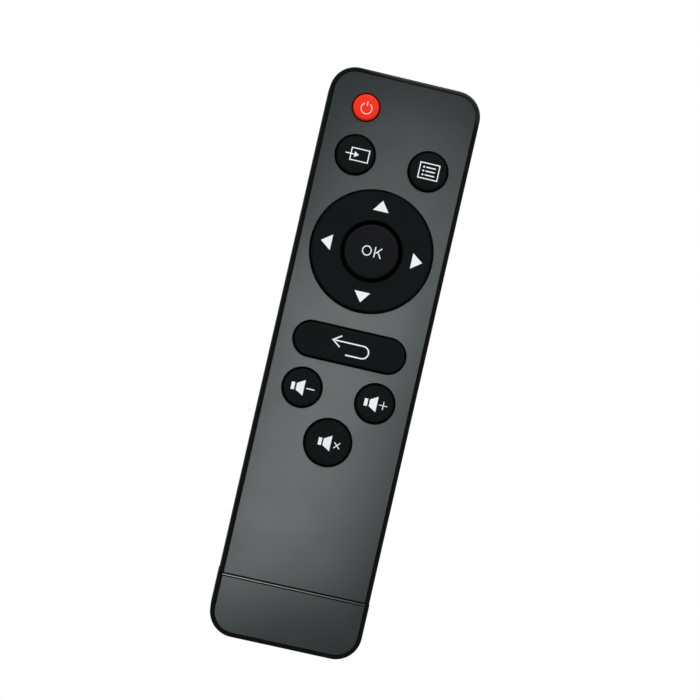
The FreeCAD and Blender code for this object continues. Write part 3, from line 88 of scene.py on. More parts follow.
bpy.ops.object.camera_add()
camera = bpy.context.object
tilt = Matrix.Rotation(-TILT, 3, "Y")
right = tilt @ Vector((math.cos(LEAN), math.sin(LEAN), 0))
up = tilt @ Vector((-math.sin(LEAN), math.cos(LEAN), 0))
back = tilt @ Vector((0, 0, 1))
off_middle = Vector((PICTURE_SIDE / 2, PICTURE_SIDE / 2)) - MIDDLE_IN_PICTURE
aim = Vector((0, 0, PANEL_TOP)) + right * off_middle.x * PIXEL - up * off_middle.y * PIXEL
turn = Matrix((right, up, back)).transposed().to_4x4()
camera.matrix_world = Matrix.Translation(aim + back * CAMERA_DISTANCE) @ turn
camera.data.lens = camera.data.sensor_width * CAMERA_DISTANCE / (PICTURE_SIDE * PIXEL)
camera.data.clip_start = 10 * MM
bpy.context.scene.camera = camera
bpy.context.scene.view_settings.view_transform = "Standard"
print(f"lens {camera.data.lens:.1f} mm at {CAMERA_DISTANCE / MM:.0f} mm")

# %% [markdown]
# Every finish is a small tree of shader nodes. Placing each node by hand is slow to write and hard to
# read, so one class wraps an output: sums on it add Math nodes, and its tree adds any other node. The
# patterns read Object coordinates. Every mesh lies in the frame's metres, so a pattern has its real
# size and stays on its piece when the piece moves.

# %% Shader sums
class Socket:
    """An output of a node. Sums on it add Math nodes."""

    def __init__(self, tree, link):
        self.tree = tree
        self.link = link

    def math(self, operation, first, second):
        return self.tree.node("ShaderNodeMath", {"operation": operation}, {0: first, 1: second})

    def __add__(self, other):
        return self.math("ADD", self, other)

    __radd__ = __add__

    def __sub__(self, other):
        return self.math("SUBTRACT", self, other)

    def __rsub__(self, other):
        return self.math("SUBTRACT", other, self)

    def __mul__(self, other):
        return self.math("MULTIPLY", self, other)

    __rmul__ = __mul__

    def __truediv__(self, other):
        return self.math("DIVIDE", self, other)

    def size(self):
        return self.math("ABSOLUTE", self, 0.0)

    def root(self):
        return self.math("SQRT", self, 0.0)

    def within(self):
        """Kept between 0 and 1."""
        return self.math("MINIMUM", self.math("MAXIMUM", self, 0.0), 1.0)

    def fraction(self):
        return self.math("FRACT", self, 0.0)

    def above(self, level):
        return self.math("GREATER_THAN", self, level)

    def below(self, level):
        return self.math("LESS_THAN", self, level)


class Finish:
    """The node tree of one material, with a Principled shader at its end."""

    def __init__(self, name):
        self.material = bpy.data.materials.new(name)
        self.material.use_nodes = True
        self.tree = self.material.node_tree
        self.shader = self.tree.nodes["Principled BSDF"]
        self.place = self.node("ShaderNodeTexCoord", output="Object")

    def node(self, kind, settings=None, inputs=None, output=0):
        made = self.tree.nodes.new(kind)
        for name, setting in (settings or {}).items():
            setattr(made, name, setting)
        for name, given in (inputs or {}).items():
            self.give(made.inputs[name], given)
        return Socket(self, made.outputs[output])

    def give(self, socket, given):
        if isinstance(given, Socket):
            self.tree.links.new(given.link, socket)
        else:
            socket.default_value = given

    def set(self, **given):
        """Set the end shader's sockets, written with _ for a space."""
        for name, value in given.items():
            self.give(self.shader.inputs[name.replace("_", " ")], value)
        return self

    def axes(self):
        """The three coordinates in millimetres."""
        split = [
            self.node("ShaderNodeSeparateXYZ", inputs={0: self.place}, output=axis) for axis in "XYZ"
        ]
        return [axis / MM for axis in split]

    def noise(self, per_mm, detail=2.0, stretch=(1, 1, 1)):
        """A noise with so many waves in a millimetre, pulled out along an axis by stretch."""
        place = self.node(
            "ShaderNodeVectorMath", {"operation": "DIVIDE"}, {0: self.place, 1: Vector(stretch) * MM}
        )
        return self.node(
            "ShaderNodeTexNoise", inputs={"Vector": place, "Scale": per_mm, "Detail": detail}
        )

    def mix(self, share, first, second):
        settings = {"data_type": "RGBA", "clamp_factor": True}
        return self.node("ShaderNodeMix", settings, {0: share, 6: first, 7: second}, output=2)

    def bump(self, height, depth_mm):
        normal = self.node("ShaderNodeBump", inputs={"Height": height, "Distance": depth_mm * MM})
        return self.set(Normal=normal)


def shade(red, green, blue):
    """A colour in linear light."""
    return (red, green, blue, 1.0)


# %% [markdown]
# The room is a wide white bowl: a floor that curves up into a wall, so no horizon shows from any
# side. One disc, extruded at its edge in small steps, makes it. It lies a tenth of a millimetre under
# the remote, because two faces in one plane would flicker. The lens and the mirrors see only its white
# glow and no shadow, as in the photograph. For all other light it is plain matt paint. From behind it
# is clear, so a view from below looks through it.

# %% Floor and wall
FLOOR_RADIUS = 1.2
COVE = 0.4
COVE_STEPS = 10
WALL_HEIGHT = 0.9
FLOOR_SIDES = 96
FLOOR_DROP = 0.1 * MM
FLOOR_GLOW = 1.0

bpy.ops.object.select_all(action="DESELECT")
bpy.ops.mesh.primitive_circle_add(vertices=FLOOR_SIDES, radius=FLOOR_RADIUS, fill_type="NGON")
bpy.ops.transform.translate(value=(0, 0, -FLOOR_DROP))
bpy.ops.object.transform_apply(location=True)
floor = bpy.context.object
floor.name = "floor"
bpy.ops.object.mode_set(mode="EDIT")
bpy.ops.mesh.select_mode(type="EDGE")
bpy.ops.mesh.select_all(action="SELECT")
radius, height = FLOOR_RADIUS, 0.0
for step in range(1, COVE_STEPS + 2):
    climb = math.radians(90) * min(step, COVE_STEPS) / COVE_STEPS
    new_radius = FLOOR_RADIUS + COVE * math.sin(climb)
    new_height = COVE * (1 - math.cos(climb)) if step <= COVE_STEPS else COVE + WALL_HEIGHT
    bpy.ops.mesh.extrude_edges_move(TRANSFORM_OT_translate={"value": (0, 0, new_height - height)})
    bpy.ops.transform.resize(value=(new_radius / radius, new_radius / radius, 1))
    radius, height = new_radius, new_height
bpy.ops.mesh.select_all(action="SELECT")
bpy.ops.mesh.normals_make_consistent(inside=True)
bpy.ops.object.mode_set(mode="OBJECT")
bpy.ops.object.shade_smooth_by_angle()

paint = Finish("studio_paint")
seen = paint.node("ShaderNodeLightPath", output="Is Camera Ray")
for output in ("Is Glossy Ray", "Is Transmission Ray"):
    seen = seen + paint.node("ShaderNodeLightPath", output=output)
glow = paint.node("ShaderNodeEmission", inputs={"Color": shade(1, 1, 1), "Strength": 1.0})
matt = paint.node("ShaderNodeBsdfDiffuse", inputs={"Color": shade(0.86, 0.86, 0.86)})
front = paint.node("ShaderNodeMixShader", inputs={0: seen * FLOOR_GLOW, 1: matt, 2: glow})
clear = paint.node("ShaderNodeBsdfTransparent")
behind = paint.node("ShaderNodeNewGeometry", output="Backfacing")
both = paint.node("ShaderNodeMixShader", inputs={0: behind, 1: front, 2: clear})
end = paint.tree.nodes["Material Output"]
paint.give(end.inputs["Surface"], both)
floor.data.materials.append(paint.material)
print(f"floor {len(floor.data.polygons)} faces, normal {floor.data.polygons[0].normal.z:+.0f}")

# %% [markdown]
# Soft light from all sides. The gloss panel is a weak mirror: what the lens sees in it is whatever
# hangs above, at the place where the line of sight bounces to. So the pale streak is not painted.
# Three flat lights hang in a stack where their mirror images fall on the middle of the panel, each
# smaller than the last, so the streak is brightest at its core and fades outwards. They lean a little,
# as the streak does. Four small ones brighten the left side by the direction pad, the lower left end,
# the far end and the right side below the volume keys. Their places and levels were found by comparing
# greys with the photograph. Three wide softboxes outside the mirror's reach light the keys and walls.

# %% Lights
LIGHT_HEIGHT = 0.80
MIRROR_SCALE = 1 + LIGHT_HEIGHT / CAMERA_DISTANCE
CAMERA_SIDE = camera.matrix_world.translation.xy


def mirrored(x, y):
    """The place at the light's height that the lens sees mirrored at a place on the panel."""
    place = Vector((x, y)) * MM * MIRROR_SCALE - CAMERA_SIDE * (MIRROR_SCALE - 1)
    return Vector((place.x, place.y, PANEL_TOP + LIGHT_HEIGHT))


def softbox(name, place, width, length, glow_level, roll=0.0):
    """An area light that faces the remote, or straight down if rolled. Its face has the given level."""
    bpy.ops.object.light_add(type="AREA", location=place)
    lamp = bpy.context.object
    lamp.name = name
    lamp.data.shape = "RECTANGLE"
    lamp.data.size = width
    lamp.data.size_y = length
    lamp.data.energy = glow_level * math.pi * width * length
    toward = Vector((0, 0, PANEL_TOP)) - lamp.location
    facing = toward.to_track_quat("-Z", "Y").to_matrix() if roll == 0 else Matrix.Identity(3)
    lamp.rotation_euler = (Matrix.Rotation(math.radians(roll), 3, "Z") @ facing).to_euler()
    print(f"{name}: {lamp.data.energy:.1f} W")


SKY_LEVEL = 0.16
STREAK_STEP = Vector((0, 0, 2 * MM))
STREAK_SCALE = MM * MIRROR_SCALE
# Each: name, middle of its image on the panel, its width and length there, level, lean in degrees.
STREAKS = (
    ("streak_outer", -1.0, 1.5, 52, 133, 1.3, -9.5),
    ("streak_middle", -3.5, -7, 37, 116, 1.2, -11),
    ("streak_core", -5, -15, 24, 84, 1.5, -12),
    ("streak_side", -20, 16, 9, 26, 2.5, -12),
    ("streak_tail", -19.5, -68, 17, 18, 3.0, -12),
    ("streak_head", 6.5, 67, 22, 20, 0.9, -9.5),
    ("streak_flank", 11, -42, 14, 38, 0.7, -12),
)
for number, (name, x, y, width, length, glow_level, lean) in enumerate(STREAKS):
    place = mirrored(x, y) + STREAK_STEP * number
    softbox(name, place, width * STREAK_SCALE, length * STREAK_SCALE, glow_level, roll=lean)
softbox("left_softbox", (-0.75, 0.25, 0.65), 0.60, 0.80, 2.6)
softbox("right_softbox", (0.80, -0.10, 0.60), 0.50, 0.80, 1.5)
softbox("top_softbox", (0.10, 0.85, 0.60), 0.80, 0.50, 5.2)
sky = bpy.context.scene.world or bpy.data.worlds.new("sky")
bpy.context.scene.world = sky
sky.use_nodes = True
background = sky.node_tree.nodes["Background"]
background.inputs["Color"].default_value = shade(1, 1, 1)
background.inputs["Strength"].default_value = SKY_LEVEL

# %% [markdown]
# The case halves and the cap are black ABS. The mould is spark-eroded, which leaves a grain of about a
# quarter millimetre that breaks the shine. A picture of such a grain could be laid on, but a fine
# noise in bump and roughness and a slow one in the colour give the same look with no seams. Where the
# halves meet, a hairline runs round the sides. It is a narrow band of height, darkened and sunk.
# The far end has a clear shine that picks up the light behind it, which shows as a faint pale line on
# its rim. The mask of that shine goes by place from above only, so the wall below the rim has it too.

# %% Black case plastic
PARTING_HEIGHT = 7.4
PARTING_WIDTH = 0.16
SHINE_SLANT = 0.25
SHINE_START = 76.0
SHINE_FADE = 2.0


def moulded_black(name, parted):
    """Grained black plastic, shinier at the far end, with the parting hairline where parted is 1."""
    finish = Finish(name)
    grain = finish.noise(4.0, detail=3.0)
    drift = finish.noise(0.05)
    x, y, z = finish.axes()
    hairline = (z - PARTING_HEIGHT).size().below(PARTING_WIDTH / 2) * parted
    far_shine = ((y + x * SHINE_SLANT - SHINE_START) / SHINE_FADE).within()
    worn = finish.mix(drift, shade(0.0022, 0.0025, 0.0027), shade(0.0040, 0.0044, 0.0047))
    finish.set(
        Base_Color=finish.mix(hairline, worn, shade(0.0005, 0.0005, 0.0005)),
        Roughness=0.56 + 0.14 * grain + 0.3 * hairline,
        Specular_IOR_Level=0.055,
        Coat_Weight=far_shine * 0.40,
        Coat_Roughness=0.36,
    )
    return finish.bump(grain * 0.1 - hairline, 0.06).material


# %% [markdown]
# The inlays on the front are grey acrylic with a satin-gloss top. What shows on the real one is a slow
# change of light over its length and a faint flow of the colour. The gloss is a soft one, so a little
# roughness and a very shallow ripple keep the reflection from looking like glass.

# %% Grey gloss inlay
def gloss_grey():
    finish = Finish("gloss_grey")
    flow = finish.noise(0.03, stretch=(1, 2.5, 1))
    ripple = finish.noise(0.12, detail=1.0)
    finish.set(
        Base_Color=finish.mix(flow, shade(0.0165, 0.0240, 0.0243), shade(0.0225, 0.0258, 0.0272)),
        Roughness=0.12 + 0.05 * ripple,
        IOR=1.49,
        Specular_Tint=shade(0.94, 1.0, 0.995),
    )
    return finish.bump(ripple, 0.002).material


# %% [markdown]
# The keys are silicone rubber with a matt coat. Rubber has hardly any mirror of its own here: a low
# specular level keeps the tops near black under the big lamps. The rounded shoulder of a key has
# painted
# shade: its colour turns near black there, for the dark that a shoulder facing away from the lamps
# shows.
# The height of a place on the key tells where that painted shade starts, and on the dished ring its
# distance from the middle does. The OK key has none. The power key is the same rubber, pigmented red.

# %% Rubber
# Near black: the painted shade laid on the key shoulders and on the ring's edges.
SHOULDER_PAINTED_SHADE = (0.0003, 0.0003, 0.0004)
KEY_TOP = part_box("menu_key")[1].z / MM
PAINTED_SHADE_FADE = 0.14


def rubber(name, dark, light, roughness, specular, painted_shade_mask=None):
    """Grained rubber. An optional mask function gives 0 where the colour stays and 1 where it turns to
    painted shade.
    """
    finish = Finish(name)
    grain = finish.noise(7.0, detail=2.0)
    drift = finish.noise(0.12)
    colour = finish.mix(drift, shade(*dark), shade(*light))
    if painted_shade_mask:
        # Where the mask is 1, the colour turns to the painted shade.
        colour = finish.mix(painted_shade_mask(*finish.axes()), colour, shade(*SHOULDER_PAINTED_SHADE))
    finish.set(
        Base_Color=colour,
        Roughness=roughness + 0.08 * grain,
        Specular_IOR_Level=specular,
    )
    return finish.bump(grain, 0.003).material


# %% [markdown]
# Now the outside gets its finishes. Each CAD node has one material slot, so dressing a piece is putting
# a material there. The round keys are crowned and the back key is flat, so the painted shade on their
# shoulders starts at different heights. The direction pad is a ring, whose painted shade lies at two
# distances from its middle.

# %% Dress the outside
def dress(material, *names):
    for name in names:
        nodes[name].material_slots[0].material = material
    print(f"{material.name}: {', '.join(names)}")


ROUND_KEYS = ("input_key", "menu_key", "volume_down_key", "volume_up_key", "mute_key")
KEY_COAT = ((0.0050, 0.0068, 0.0075), (0.0066, 0.0084, 0.0091), 0.55, 0.04)
OK_COAT = ((0.0068, 0.0081, 0.0094), (0.0084, 0.0097, 0.0112), 0.55, 0.04)
CROWN_DROP = 0.18
FLAT_DROP = 0.03
RING_MIDDLE_Y = (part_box("dpad_ring")[0].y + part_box("dpad_ring")[1].y) / 2 / MM
RING_OUTER = 15.9
RING_OUTER_FADE = 0.7
RING_INNER = 8.95
RING_INNER_FADE = 0.5


def painted_shade_below(drop):
    """Painted shade below a height that lies so far under the key tops."""
    edge = KEY_TOP - drop
    return lambda x, y, z: (edge - z) / PAINTED_SHADE_FADE


def ring_painted_shade(x, y, z):
    """Painted shade at the outer shoulder of the ring and at the edge of its groove."""
    y = y - RING_MIDDLE_Y
    from_middle = (x * x + y * y).root()
    outer = ((from_middle - RING_OUTER) / RING_OUTER_FADE).within()
    return outer + ((RING_INNER - from_middle) / RING_INNER_FADE).within()


dress(moulded_black("case_plastic", 1.0), "front_case", "rear_case")
dress(moulded_black("cap_plastic", 0.0), "battery_cover")
dress(gloss_grey(), "front_panel", "cover_panel")
# The round keys, the back key and the ring get painted shade on their shoulders; the OK key gets none.
dress(rubber("round_key_rubber", *KEY_COAT, painted_shade_below(CROWN_DROP)), *ROUND_KEYS)
dress(rubber("back_key_rubber", *KEY_COAT, painted_shade_below(FLAT_DROP)), "back_key")
# The ring's outer shoulder and groove edge get painted shade.
dress(rubber("ring_rubber", *KEY_COAT, ring_painted_shade), "dpad_ring")
dress(rubber("ok_key_rubber", *OK_COAT), "ok_key")
dress(rubber("red_rubber", (0.90, 0.022, 0.006), (1.00, 0.032, 0.009), 0.45, 0.14), "power_key")

# %% [markdown]
# Inside, most parts have one plain finish. Springs and battery contacts are nickel on steel, which is
# drawn or rolled, so its fine scratches run along the strip. Screws are zinc plated, duller and bluer.
# One metal finish with a stretched noise does for both, with its colour and pull given.

# %% Metals and carbon
def plated(name, dark, light, roughness, pull):
    finish = Finish(name)
    scratches = finish.noise(5.0, detail=3.0, stretch=pull)
    tarnish = finish.noise(0.25)
    finish.set(
        Base_Color=finish.mix(tarnish, shade(*dark), shade(*light)),
        Metallic=1.0,
        Roughness=roughness + 0.16 * scratches,
    )
    return finish.bump(scratches, 0.004).material


def pressed_carbon():
    """Conductive rubber pills: black, a little glittery, quite dry."""
    finish = Finish("pressed_carbon")
    flecks = finish.noise(9.0, detail=4.0)
    finish.set(
        Base_Color=finish.mix(flecks, shade(0.006, 0.006, 0.006), shade(0.030, 0.030, 0.032)),
        Roughness=0.72 - 0.2 * flecks,
        Specular_IOR_Level=0.3,
    )
    return finish.bump(flecks, 0.008).material


NICKEL = ((0.52, 0.50, 0.46), (0.68, 0.66, 0.61))
ZINC = ((0.40, 0.42, 0.45), (0.55, 0.57, 0.60))
rolled = plated("rolled_nickel", *NICKEL, 0.22, (8, 1, 1))
dress(rolled, "bridge_contact", "positive_contact", "negative_contact")
dress(plated("drawn_nickel", *NICKEL, 0.24, (1, 1, 1)), "spring_one", "spring_two")
dress(plated("zinc_plate", *ZINC, 0.34, (1, 1, 3)), "case_screws", "board_screws")
PILL_KEYS = ("power", "input", "menu", "volume_down", "volume_up", "mute", "ok")
pills = [f"{key}_key_pill" for key in PILL_KEYS]
dress(pressed_carbon(), *pills, "back_key_pills", "dpad_pills")

# %% [markdown]
# The board is fibreglass under green solder mask. Its copper tracks lie under the mask and show as
# raised, lighter lines, mostly in bundles that run along or across. A slow noise chooses the direction
# of each bundle, and the fraction of a coordinate gives evenly spaced lines. Small tinned dots, from
# the middles of Voronoi cells, stand for the through holes.

# %% Circuit board
TRACK_PITCH = 1.1
TRACK_SHARE = 0.42
VIA_SPACING = 5.0
VIA_REACH = 0.09
TOOTH_PITCH = 0.9
TOOTH_SHARE = 0.62


def solder_mask():
    finish = Finish("solder_mask")
    x, y, z = finish.axes()
    along = finish.noise(0.06, detail=0.0).above(0.5)
    lines_along = (x / TRACK_PITCH).fraction().below(TRACK_SHARE)
    lines_across = (y / TRACK_PITCH).fraction().below(TRACK_SHARE)
    covered = finish.noise(0.11, detail=0.0).above(0.47)
    tracks = (along * lines_along + (1 - along) * lines_across) * covered
    place = finish.node(
        "ShaderNodeVectorMath", {"operation": "DIVIDE"}, {0: finish.place, 1: Vector((1, 1, 1)) * MM}
    )
    vias = finish.node(
        "ShaderNodeTexVoronoi",
        {"voronoi_dimensions": "2D"},
        {"Vector": place, "Scale": 1 / VIA_SPACING},
    ).below(VIA_REACH)
    green = finish.mix(tracks, shade(0.006, 0.075, 0.030), shade(0.016, 0.135, 0.050))
    finish.set(
        Base_Color=finish.mix(vias, green, shade(0.62, 0.61, 0.58)),
        Metallic=vias * 0.9,
        Roughness=0.30 + 0.10 * finish.noise(2.0),
        IOR=1.5,
    )
    return finish.bump(tracks, 0.03).material


def contact_comb():
    """Printed carbon contacts: two combs whose teeth pass between each other."""
    finish = Finish("contact_comb")
    x, y, z = finish.axes()
    teeth = (x / TOOTH_PITCH).fraction().below(TOOTH_SHARE)
    grain = finish.noise(8.0)
    black = finish.mix(grain, shade(0.010, 0.010, 0.010), shade(0.030, 0.030, 0.030))
    finish.set(
        Base_Color=finish.mix(teeth, shade(0.010, 0.095, 0.038), black),
        Roughness=0.45 + 0.2 * grain,
    )
    return finish.bump(teeth, 0.02).material


dress(solder_mask(), "circuit_board")
dress(contact_comb(), "contact_pads")

# %% [markdown]
# Most parts on the board show two finishes: black epoxy with tinned ends or legs, a dark sleeve on a
# can with bare ends, tinted resin on tinned legs. The mesh of each is one node, so the change of finish
# is a mask: a test on the place in millimetres, which gives 0 or 1 and steers the colour, the metal and
# the roughness together. The transistor and the resonator have one finish each.

# %% Parts on the board
TIN = shade(0.66, 0.66, 0.64)


def middle_mm(node):
    low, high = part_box(node)
    return (low + high) / 2 / MM


def two_finishes(name, dark, light, roughness, metal_mask, metal=TIN):
    """A moulded or painted body with bare metal where the mask is 1. The mask is made by a function."""
    finish = Finish(name)
    grain = finish.noise(6.0, detail=3.0)
    bare = metal_mask(*finish.axes())
    body = finish.mix(grain, shade(*dark), shade(*light))
    finish.set(
        Base_Color=finish.mix(bare, body, metal),
        Metallic=bare,
        Roughness=(1 - bare) * (roughness - 0.25) + 0.25 + 0.10 * grain,
    )
    return finish.bump(grain, 0.006).material


CHIP_HALF_WIDTH = 3.8
EPOXY = ((0.008, 0.008, 0.008), (0.018, 0.018, 0.019))
dress(
    two_finishes("chip_and_legs", *EPOXY, 0.55, lambda x, y, z: x.size().above(CHIP_HALF_WIDTH)),
    "controller_chip",
)
RESISTOR_HALF_BODY = 0.62
resistor_x = middle_mm("resistors").x
dress(
    two_finishes(
        "resistor_and_ends", *EPOXY, 0.40,
        lambda x, y, z: (x - resistor_x).size().above(RESISTOR_HALF_BODY),
    ),
    "resistors",
)
dress(rubber("transistor_epoxy", *EPOXY, 0.5, 0.4), "lamp_transistor")
can = middle_mm("capacitor")
CAN_HALF_LENGTH = 5.45
dress(
    two_finishes(
        "sleeve_and_can", (0.010, 0.014, 0.040), (0.014, 0.020, 0.055), 0.30,
        lambda x, y, z: (y - can.y).size().above(CAN_HALF_LENGTH),
    ),
    "capacitor",
)
dress(rubber("fired_ceramic", (0.42, 0.20, 0.045), (0.55, 0.28, 0.075), 0.35, 0.5), "resonator")
LAMP_LENGTH = 8.6
LAMP_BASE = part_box("infrared_lamp")[1].y / MM - LAMP_LENGTH
dress(
    two_finishes(
        "tinted_resin_and_legs", (0.030, 0.016, 0.060), (0.050, 0.030, 0.095), 0.08,
        lambda x, y, z: y.below(LAMP_BASE),
    ),
    "infrared_lamp",
)

# %% [markdown]
# The window at the front end is a filter plastic that looks black but lets infrared through. In strong
# light it has a deep wine tint. It is polished, so it stands out from the grained case around it.

# %% Infrared window
def filter_plastic():
    finish = Finish("filter_plastic")
    drift = finish.noise(0.4)
    finish.set(
        Base_Color=finish.mix(drift, shade(0.012, 0.0015, 0.003), shade(0.022, 0.003, 0.006)),
        Roughness=0.08 + 0.05 * drift,
        Specular_IOR_Level=0.3,
    )
    return finish.bump(drift, 0.01).material


dress(filter_plastic(), "infrared_window")

# %% [markdown]
# A cell is a steel can in a printed jacket: dark for most of its length, with a copper band at the end
# that carries the nub. The two cells lie head to tail, so each gets the same finish with its own place
# and direction. Both ends stay bare steel.

# %% Cells
CELL_LENGTH = 44.5
NUB_HEIGHT = 0.8
JACKET_EDGE = 0.55
BAND_LENGTH = 11.0
BAND_LINE = 0.7


def cell_jacket(name, flat_end, toward):
    """A jacket whose bands are placed along Y from the flat end, toward +1 or -1."""
    finish = Finish(name)
    x, y, z = finish.axes()
    along = (y - flat_end) * toward
    band_start = CELL_LENGTH - NUB_HEIGHT - BAND_LENGTH
    band = along.above(band_start)
    line = along.above(band_start - BAND_LINE) - band
    bare = along.below(JACKET_EDGE) + along.above(CELL_LENGTH - NUB_HEIGHT - JACKET_EDGE)
    drift = finish.noise(0.2)
    dark = finish.mix(drift, shade(0.012, 0.014, 0.020), shade(0.022, 0.025, 0.034))
    copper = finish.mix(drift, shade(0.42, 0.17, 0.055), shade(0.55, 0.24, 0.085))
    printed = finish.mix(line, finish.mix(band, dark, copper), shade(0.78, 0.77, 0.72))
    finish.set(
        Base_Color=finish.mix(bare, printed, TIN),
        Metallic=bare + (1 - bare) * (0.25 + 0.55 * band),
        Roughness=0.26 + 0.10 * finish.noise(3.0),
        Coat_Weight=(1 - bare) * 0.4,
    )
    return finish.bump(bare + line * 0.5, 0.01).material


for name, toward in (("battery_one", 1), ("battery_two", -1)):
    low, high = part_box(name)
    flat_end = (low.y if toward > 0 else high.y) / MM
    dress(cell_jacket(f"{name}_jacket", flat_end, toward), name)

# %% [markdown]
# The symbols are white ink, printed on the key tops. Flat text and curves would need cutting to follow
# a crowned key, so each symbol is drawn as ribbons instead. A plane makes the first step of a stroke,
# and its front edge is then extruded from point to point, turned and stretched at each corner so that
# the stroke keeps its width. A ribbon that changes width on its way makes a triangle or a speaker.

# %% Ribbon tool
def heading(way):
    return math.atan2(way.y, way.x)


def edge_states(points, widths, closed):
    """The place, direction and length of the ribbon's front edge at each point of its path."""
    states = []
    count = len(points)
    for number, point in enumerate(points):
        way_in = point - points[number - 1]
        way_out = points[(number + 1) % count] - point
        if not closed and number == 0:
            way_in = way_out
        if not closed and number == count - 1:
            way_out = way_in
        bend = (heading(way_out) - heading(way_in) + math.pi) % math.tau - math.pi
        states.append((point, heading(way_in) + bend / 2, widths[number] / math.cos(bend / 2)))
    return states + states[:1] if closed else states


def select_vertices(chosen):
    """Select only the given vertices of the mesh in edit mode, and the edges between them."""
    bpy.ops.mesh.select_mode(type="VERT")
    bpy.ops.mesh.select_all(action="DESELECT")
    mesh = bpy.context.object.data
    shape = bmesh.from_edit_mesh(mesh)
    shape.verts.ensure_lookup_table()
    for index in chosen:
        shape.verts[index].select_set(True)
    shape.select_flush(True)
    bmesh.update_edit_mesh(mesh)


def turn_and_stretch(old, new):
    """Give the selected edge, already at its new place, its new direction and length."""
    place, direction, length = new
    turned = (direction - old[1] + math.pi) % math.tau - math.pi
    bpy.ops.transform.rotate(value=-turned, orient_axis="Z", center_override=place)
    bpy.ops.transform.resize(value=(length / old[2], length / old[2], 1), center_override=place)


def ribbon(points, widths, closed=False):
    """Draw a flat ribbon in the mesh in edit mode."""
    states = edge_states(points, widths, closed)
    way = (points[1] - points[0]).normalized()
    across = widths[0]
    bpy.ops.mesh.select_mode(type="VERT")
    bpy.ops.mesh.select_all(action="DESELECT")
    bpy.ops.mesh.primitive_plane_add(size=across, location=points[0], rotation=(0, 0, heading(way)))
    shape = bmesh.from_edit_mesh(bpy.context.object.data)
    added = [
        (vertex.index, (vertex.co - points[0]).dot(way)) for vertex in shape.verts if vertex.select
    ]
    ends = [
        [index for index, along in added if along < 0],
        [index for index, along in added if along > 0],
    ]
    for chosen, side, state in zip(ends, (-1, 1), states):
        select_vertices(chosen)
        bpy.ops.transform.translate(value=state[0] - points[0] - way * side * across / 2)
        turn_and_stretch((state[0], heading(way), across), state)
    for old, new in zip(states[1:], states[2:]):
        bpy.ops.mesh.extrude_region_move(TRANSFORM_OT_translate={"value": new[0] - old[0]})
        turn_and_stretch(old, new)


print("ribbon tool ready")

# %% [markdown]
# A symbol starts as an empty mesh. Its strokes are drawn flat above the key, long edges are divided so
# that the ink can bend, and Shrinkwrap drops the drawing straight down on the key's top. Solidify then
# gives the ink the few hundredths of a millimetre that a screen print has.

# %% Printing tool
INK_THICKNESS = 0.03 * MM
INK_LIFT = 0.004 * MM
LONGEST_INK_EDGE = 0.8 * MM
DRAWING_HEIGHT = 1.0 * MM
DISC_SIDES = 20


def white_ink():
    finish = Finish("white_ink")
    mottle = finish.noise(1.6, detail=3.0)
    finish.set(
        Base_Color=finish.mix(mottle, shade(0.86, 0.89, 0.90), shade(0.95, 0.97, 0.98)),
        Roughness=0.48 + 0.10 * mottle,
        Specular_IOR_Level=0.3,
    )
    return finish.bump(mottle, 0.002).material


ink = white_ink()


def middle_of(node):
    low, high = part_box(node)
    return Vector(((low.x + high.x) / 2, (low.y + high.y) / 2, high.z + DRAWING_HEIGHT))


def new_drawing(name):
    """An empty mesh at the origin, in edit mode."""
    bpy.ops.object.select_all(action="DESELECT")
    bpy.ops.mesh.primitive_plane_add()
    drawing = bpy.context.object
    drawing.name = name
    bpy.ops.object.mode_set(mode="EDIT")
    bpy.ops.mesh.select_all(action="SELECT")
    bpy.ops.mesh.delete(type="VERT")
    return drawing


def apply_modifier(piece, kind, **settings):
    modifier = piece.modifiers.new(kind.lower(), kind)
    for name, setting in settings.items():
        setattr(modifier, name, setting)
    bpy.ops.object.modifier_apply(modifier=modifier.name)


def divide_long_edges(mesh):
    """Halve every edge that is too long to follow the crown, until none is."""
    bpy.ops.mesh.select_mode(type="EDGE")
    while True:
        bpy.ops.mesh.select_all(action="DESELECT")
        shape = bmesh.from_edit_mesh(mesh)
        long_edges = [edge for edge in shape.edges if edge.calc_length() > LONGEST_INK_EDGE]
        if not long_edges:
            return
        for edge in long_edges:
            edge.select_set(True)
        bmesh.update_edit_mesh(mesh)
        bpy.ops.mesh.subdivide(number_cuts=1)


def print_on(name, key, body, strokes, discs=()):
    """Print strokes and discs, given in millimetres from the key's middle, on a key's top."""
    middle = middle_of(key)
    drawing = new_drawing(name)
    for points, width, closed in strokes:
        places = [middle + Vector((x, y, 0)) * MM for x, y in points]
        widths = width if isinstance(width, tuple) else (width,) * len(points)
        ribbon(places, [across * MM for across in widths], closed)
    for x, y, disc_radius in discs:
        place = middle + Vector((x, y, 0)) * MM
        bpy.ops.mesh.primitive_circle_add(
            vertices=DISC_SIDES, radius=disc_radius * MM, fill_type="NGON", location=place
        )
    bpy.ops.mesh.select_all(action="SELECT")
    bpy.ops.mesh.remove_doubles(threshold=0.001 * MM)
    divide_long_edges(drawing.data)
    bpy.ops.mesh.select_mode(type="FACE")
    bpy.ops.mesh.select_all(action="DESELECT")
    for face in bmesh.from_edit_mesh(drawing.data).faces:
        if face.normal.z < 0:
            face.select_set(True)
    bpy.ops.mesh.flip_normals()
    bpy.ops.object.mode_set(mode="OBJECT")
    apply_modifier(
        drawing, "SHRINKWRAP", wrap_method="PROJECT", use_project_z=True, use_positive_direction=False,
        use_negative_direction=True, target=nodes[key], offset=INK_LIFT,
    )
    apply_modifier(drawing, "SOLIDIFY", thickness=INK_THICKNESS, offset=1.0)
    drawing.data.materials.append(ink)
    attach(drawing, body)
    print(f"{name}: {len(drawing.data.polygons)} faces")


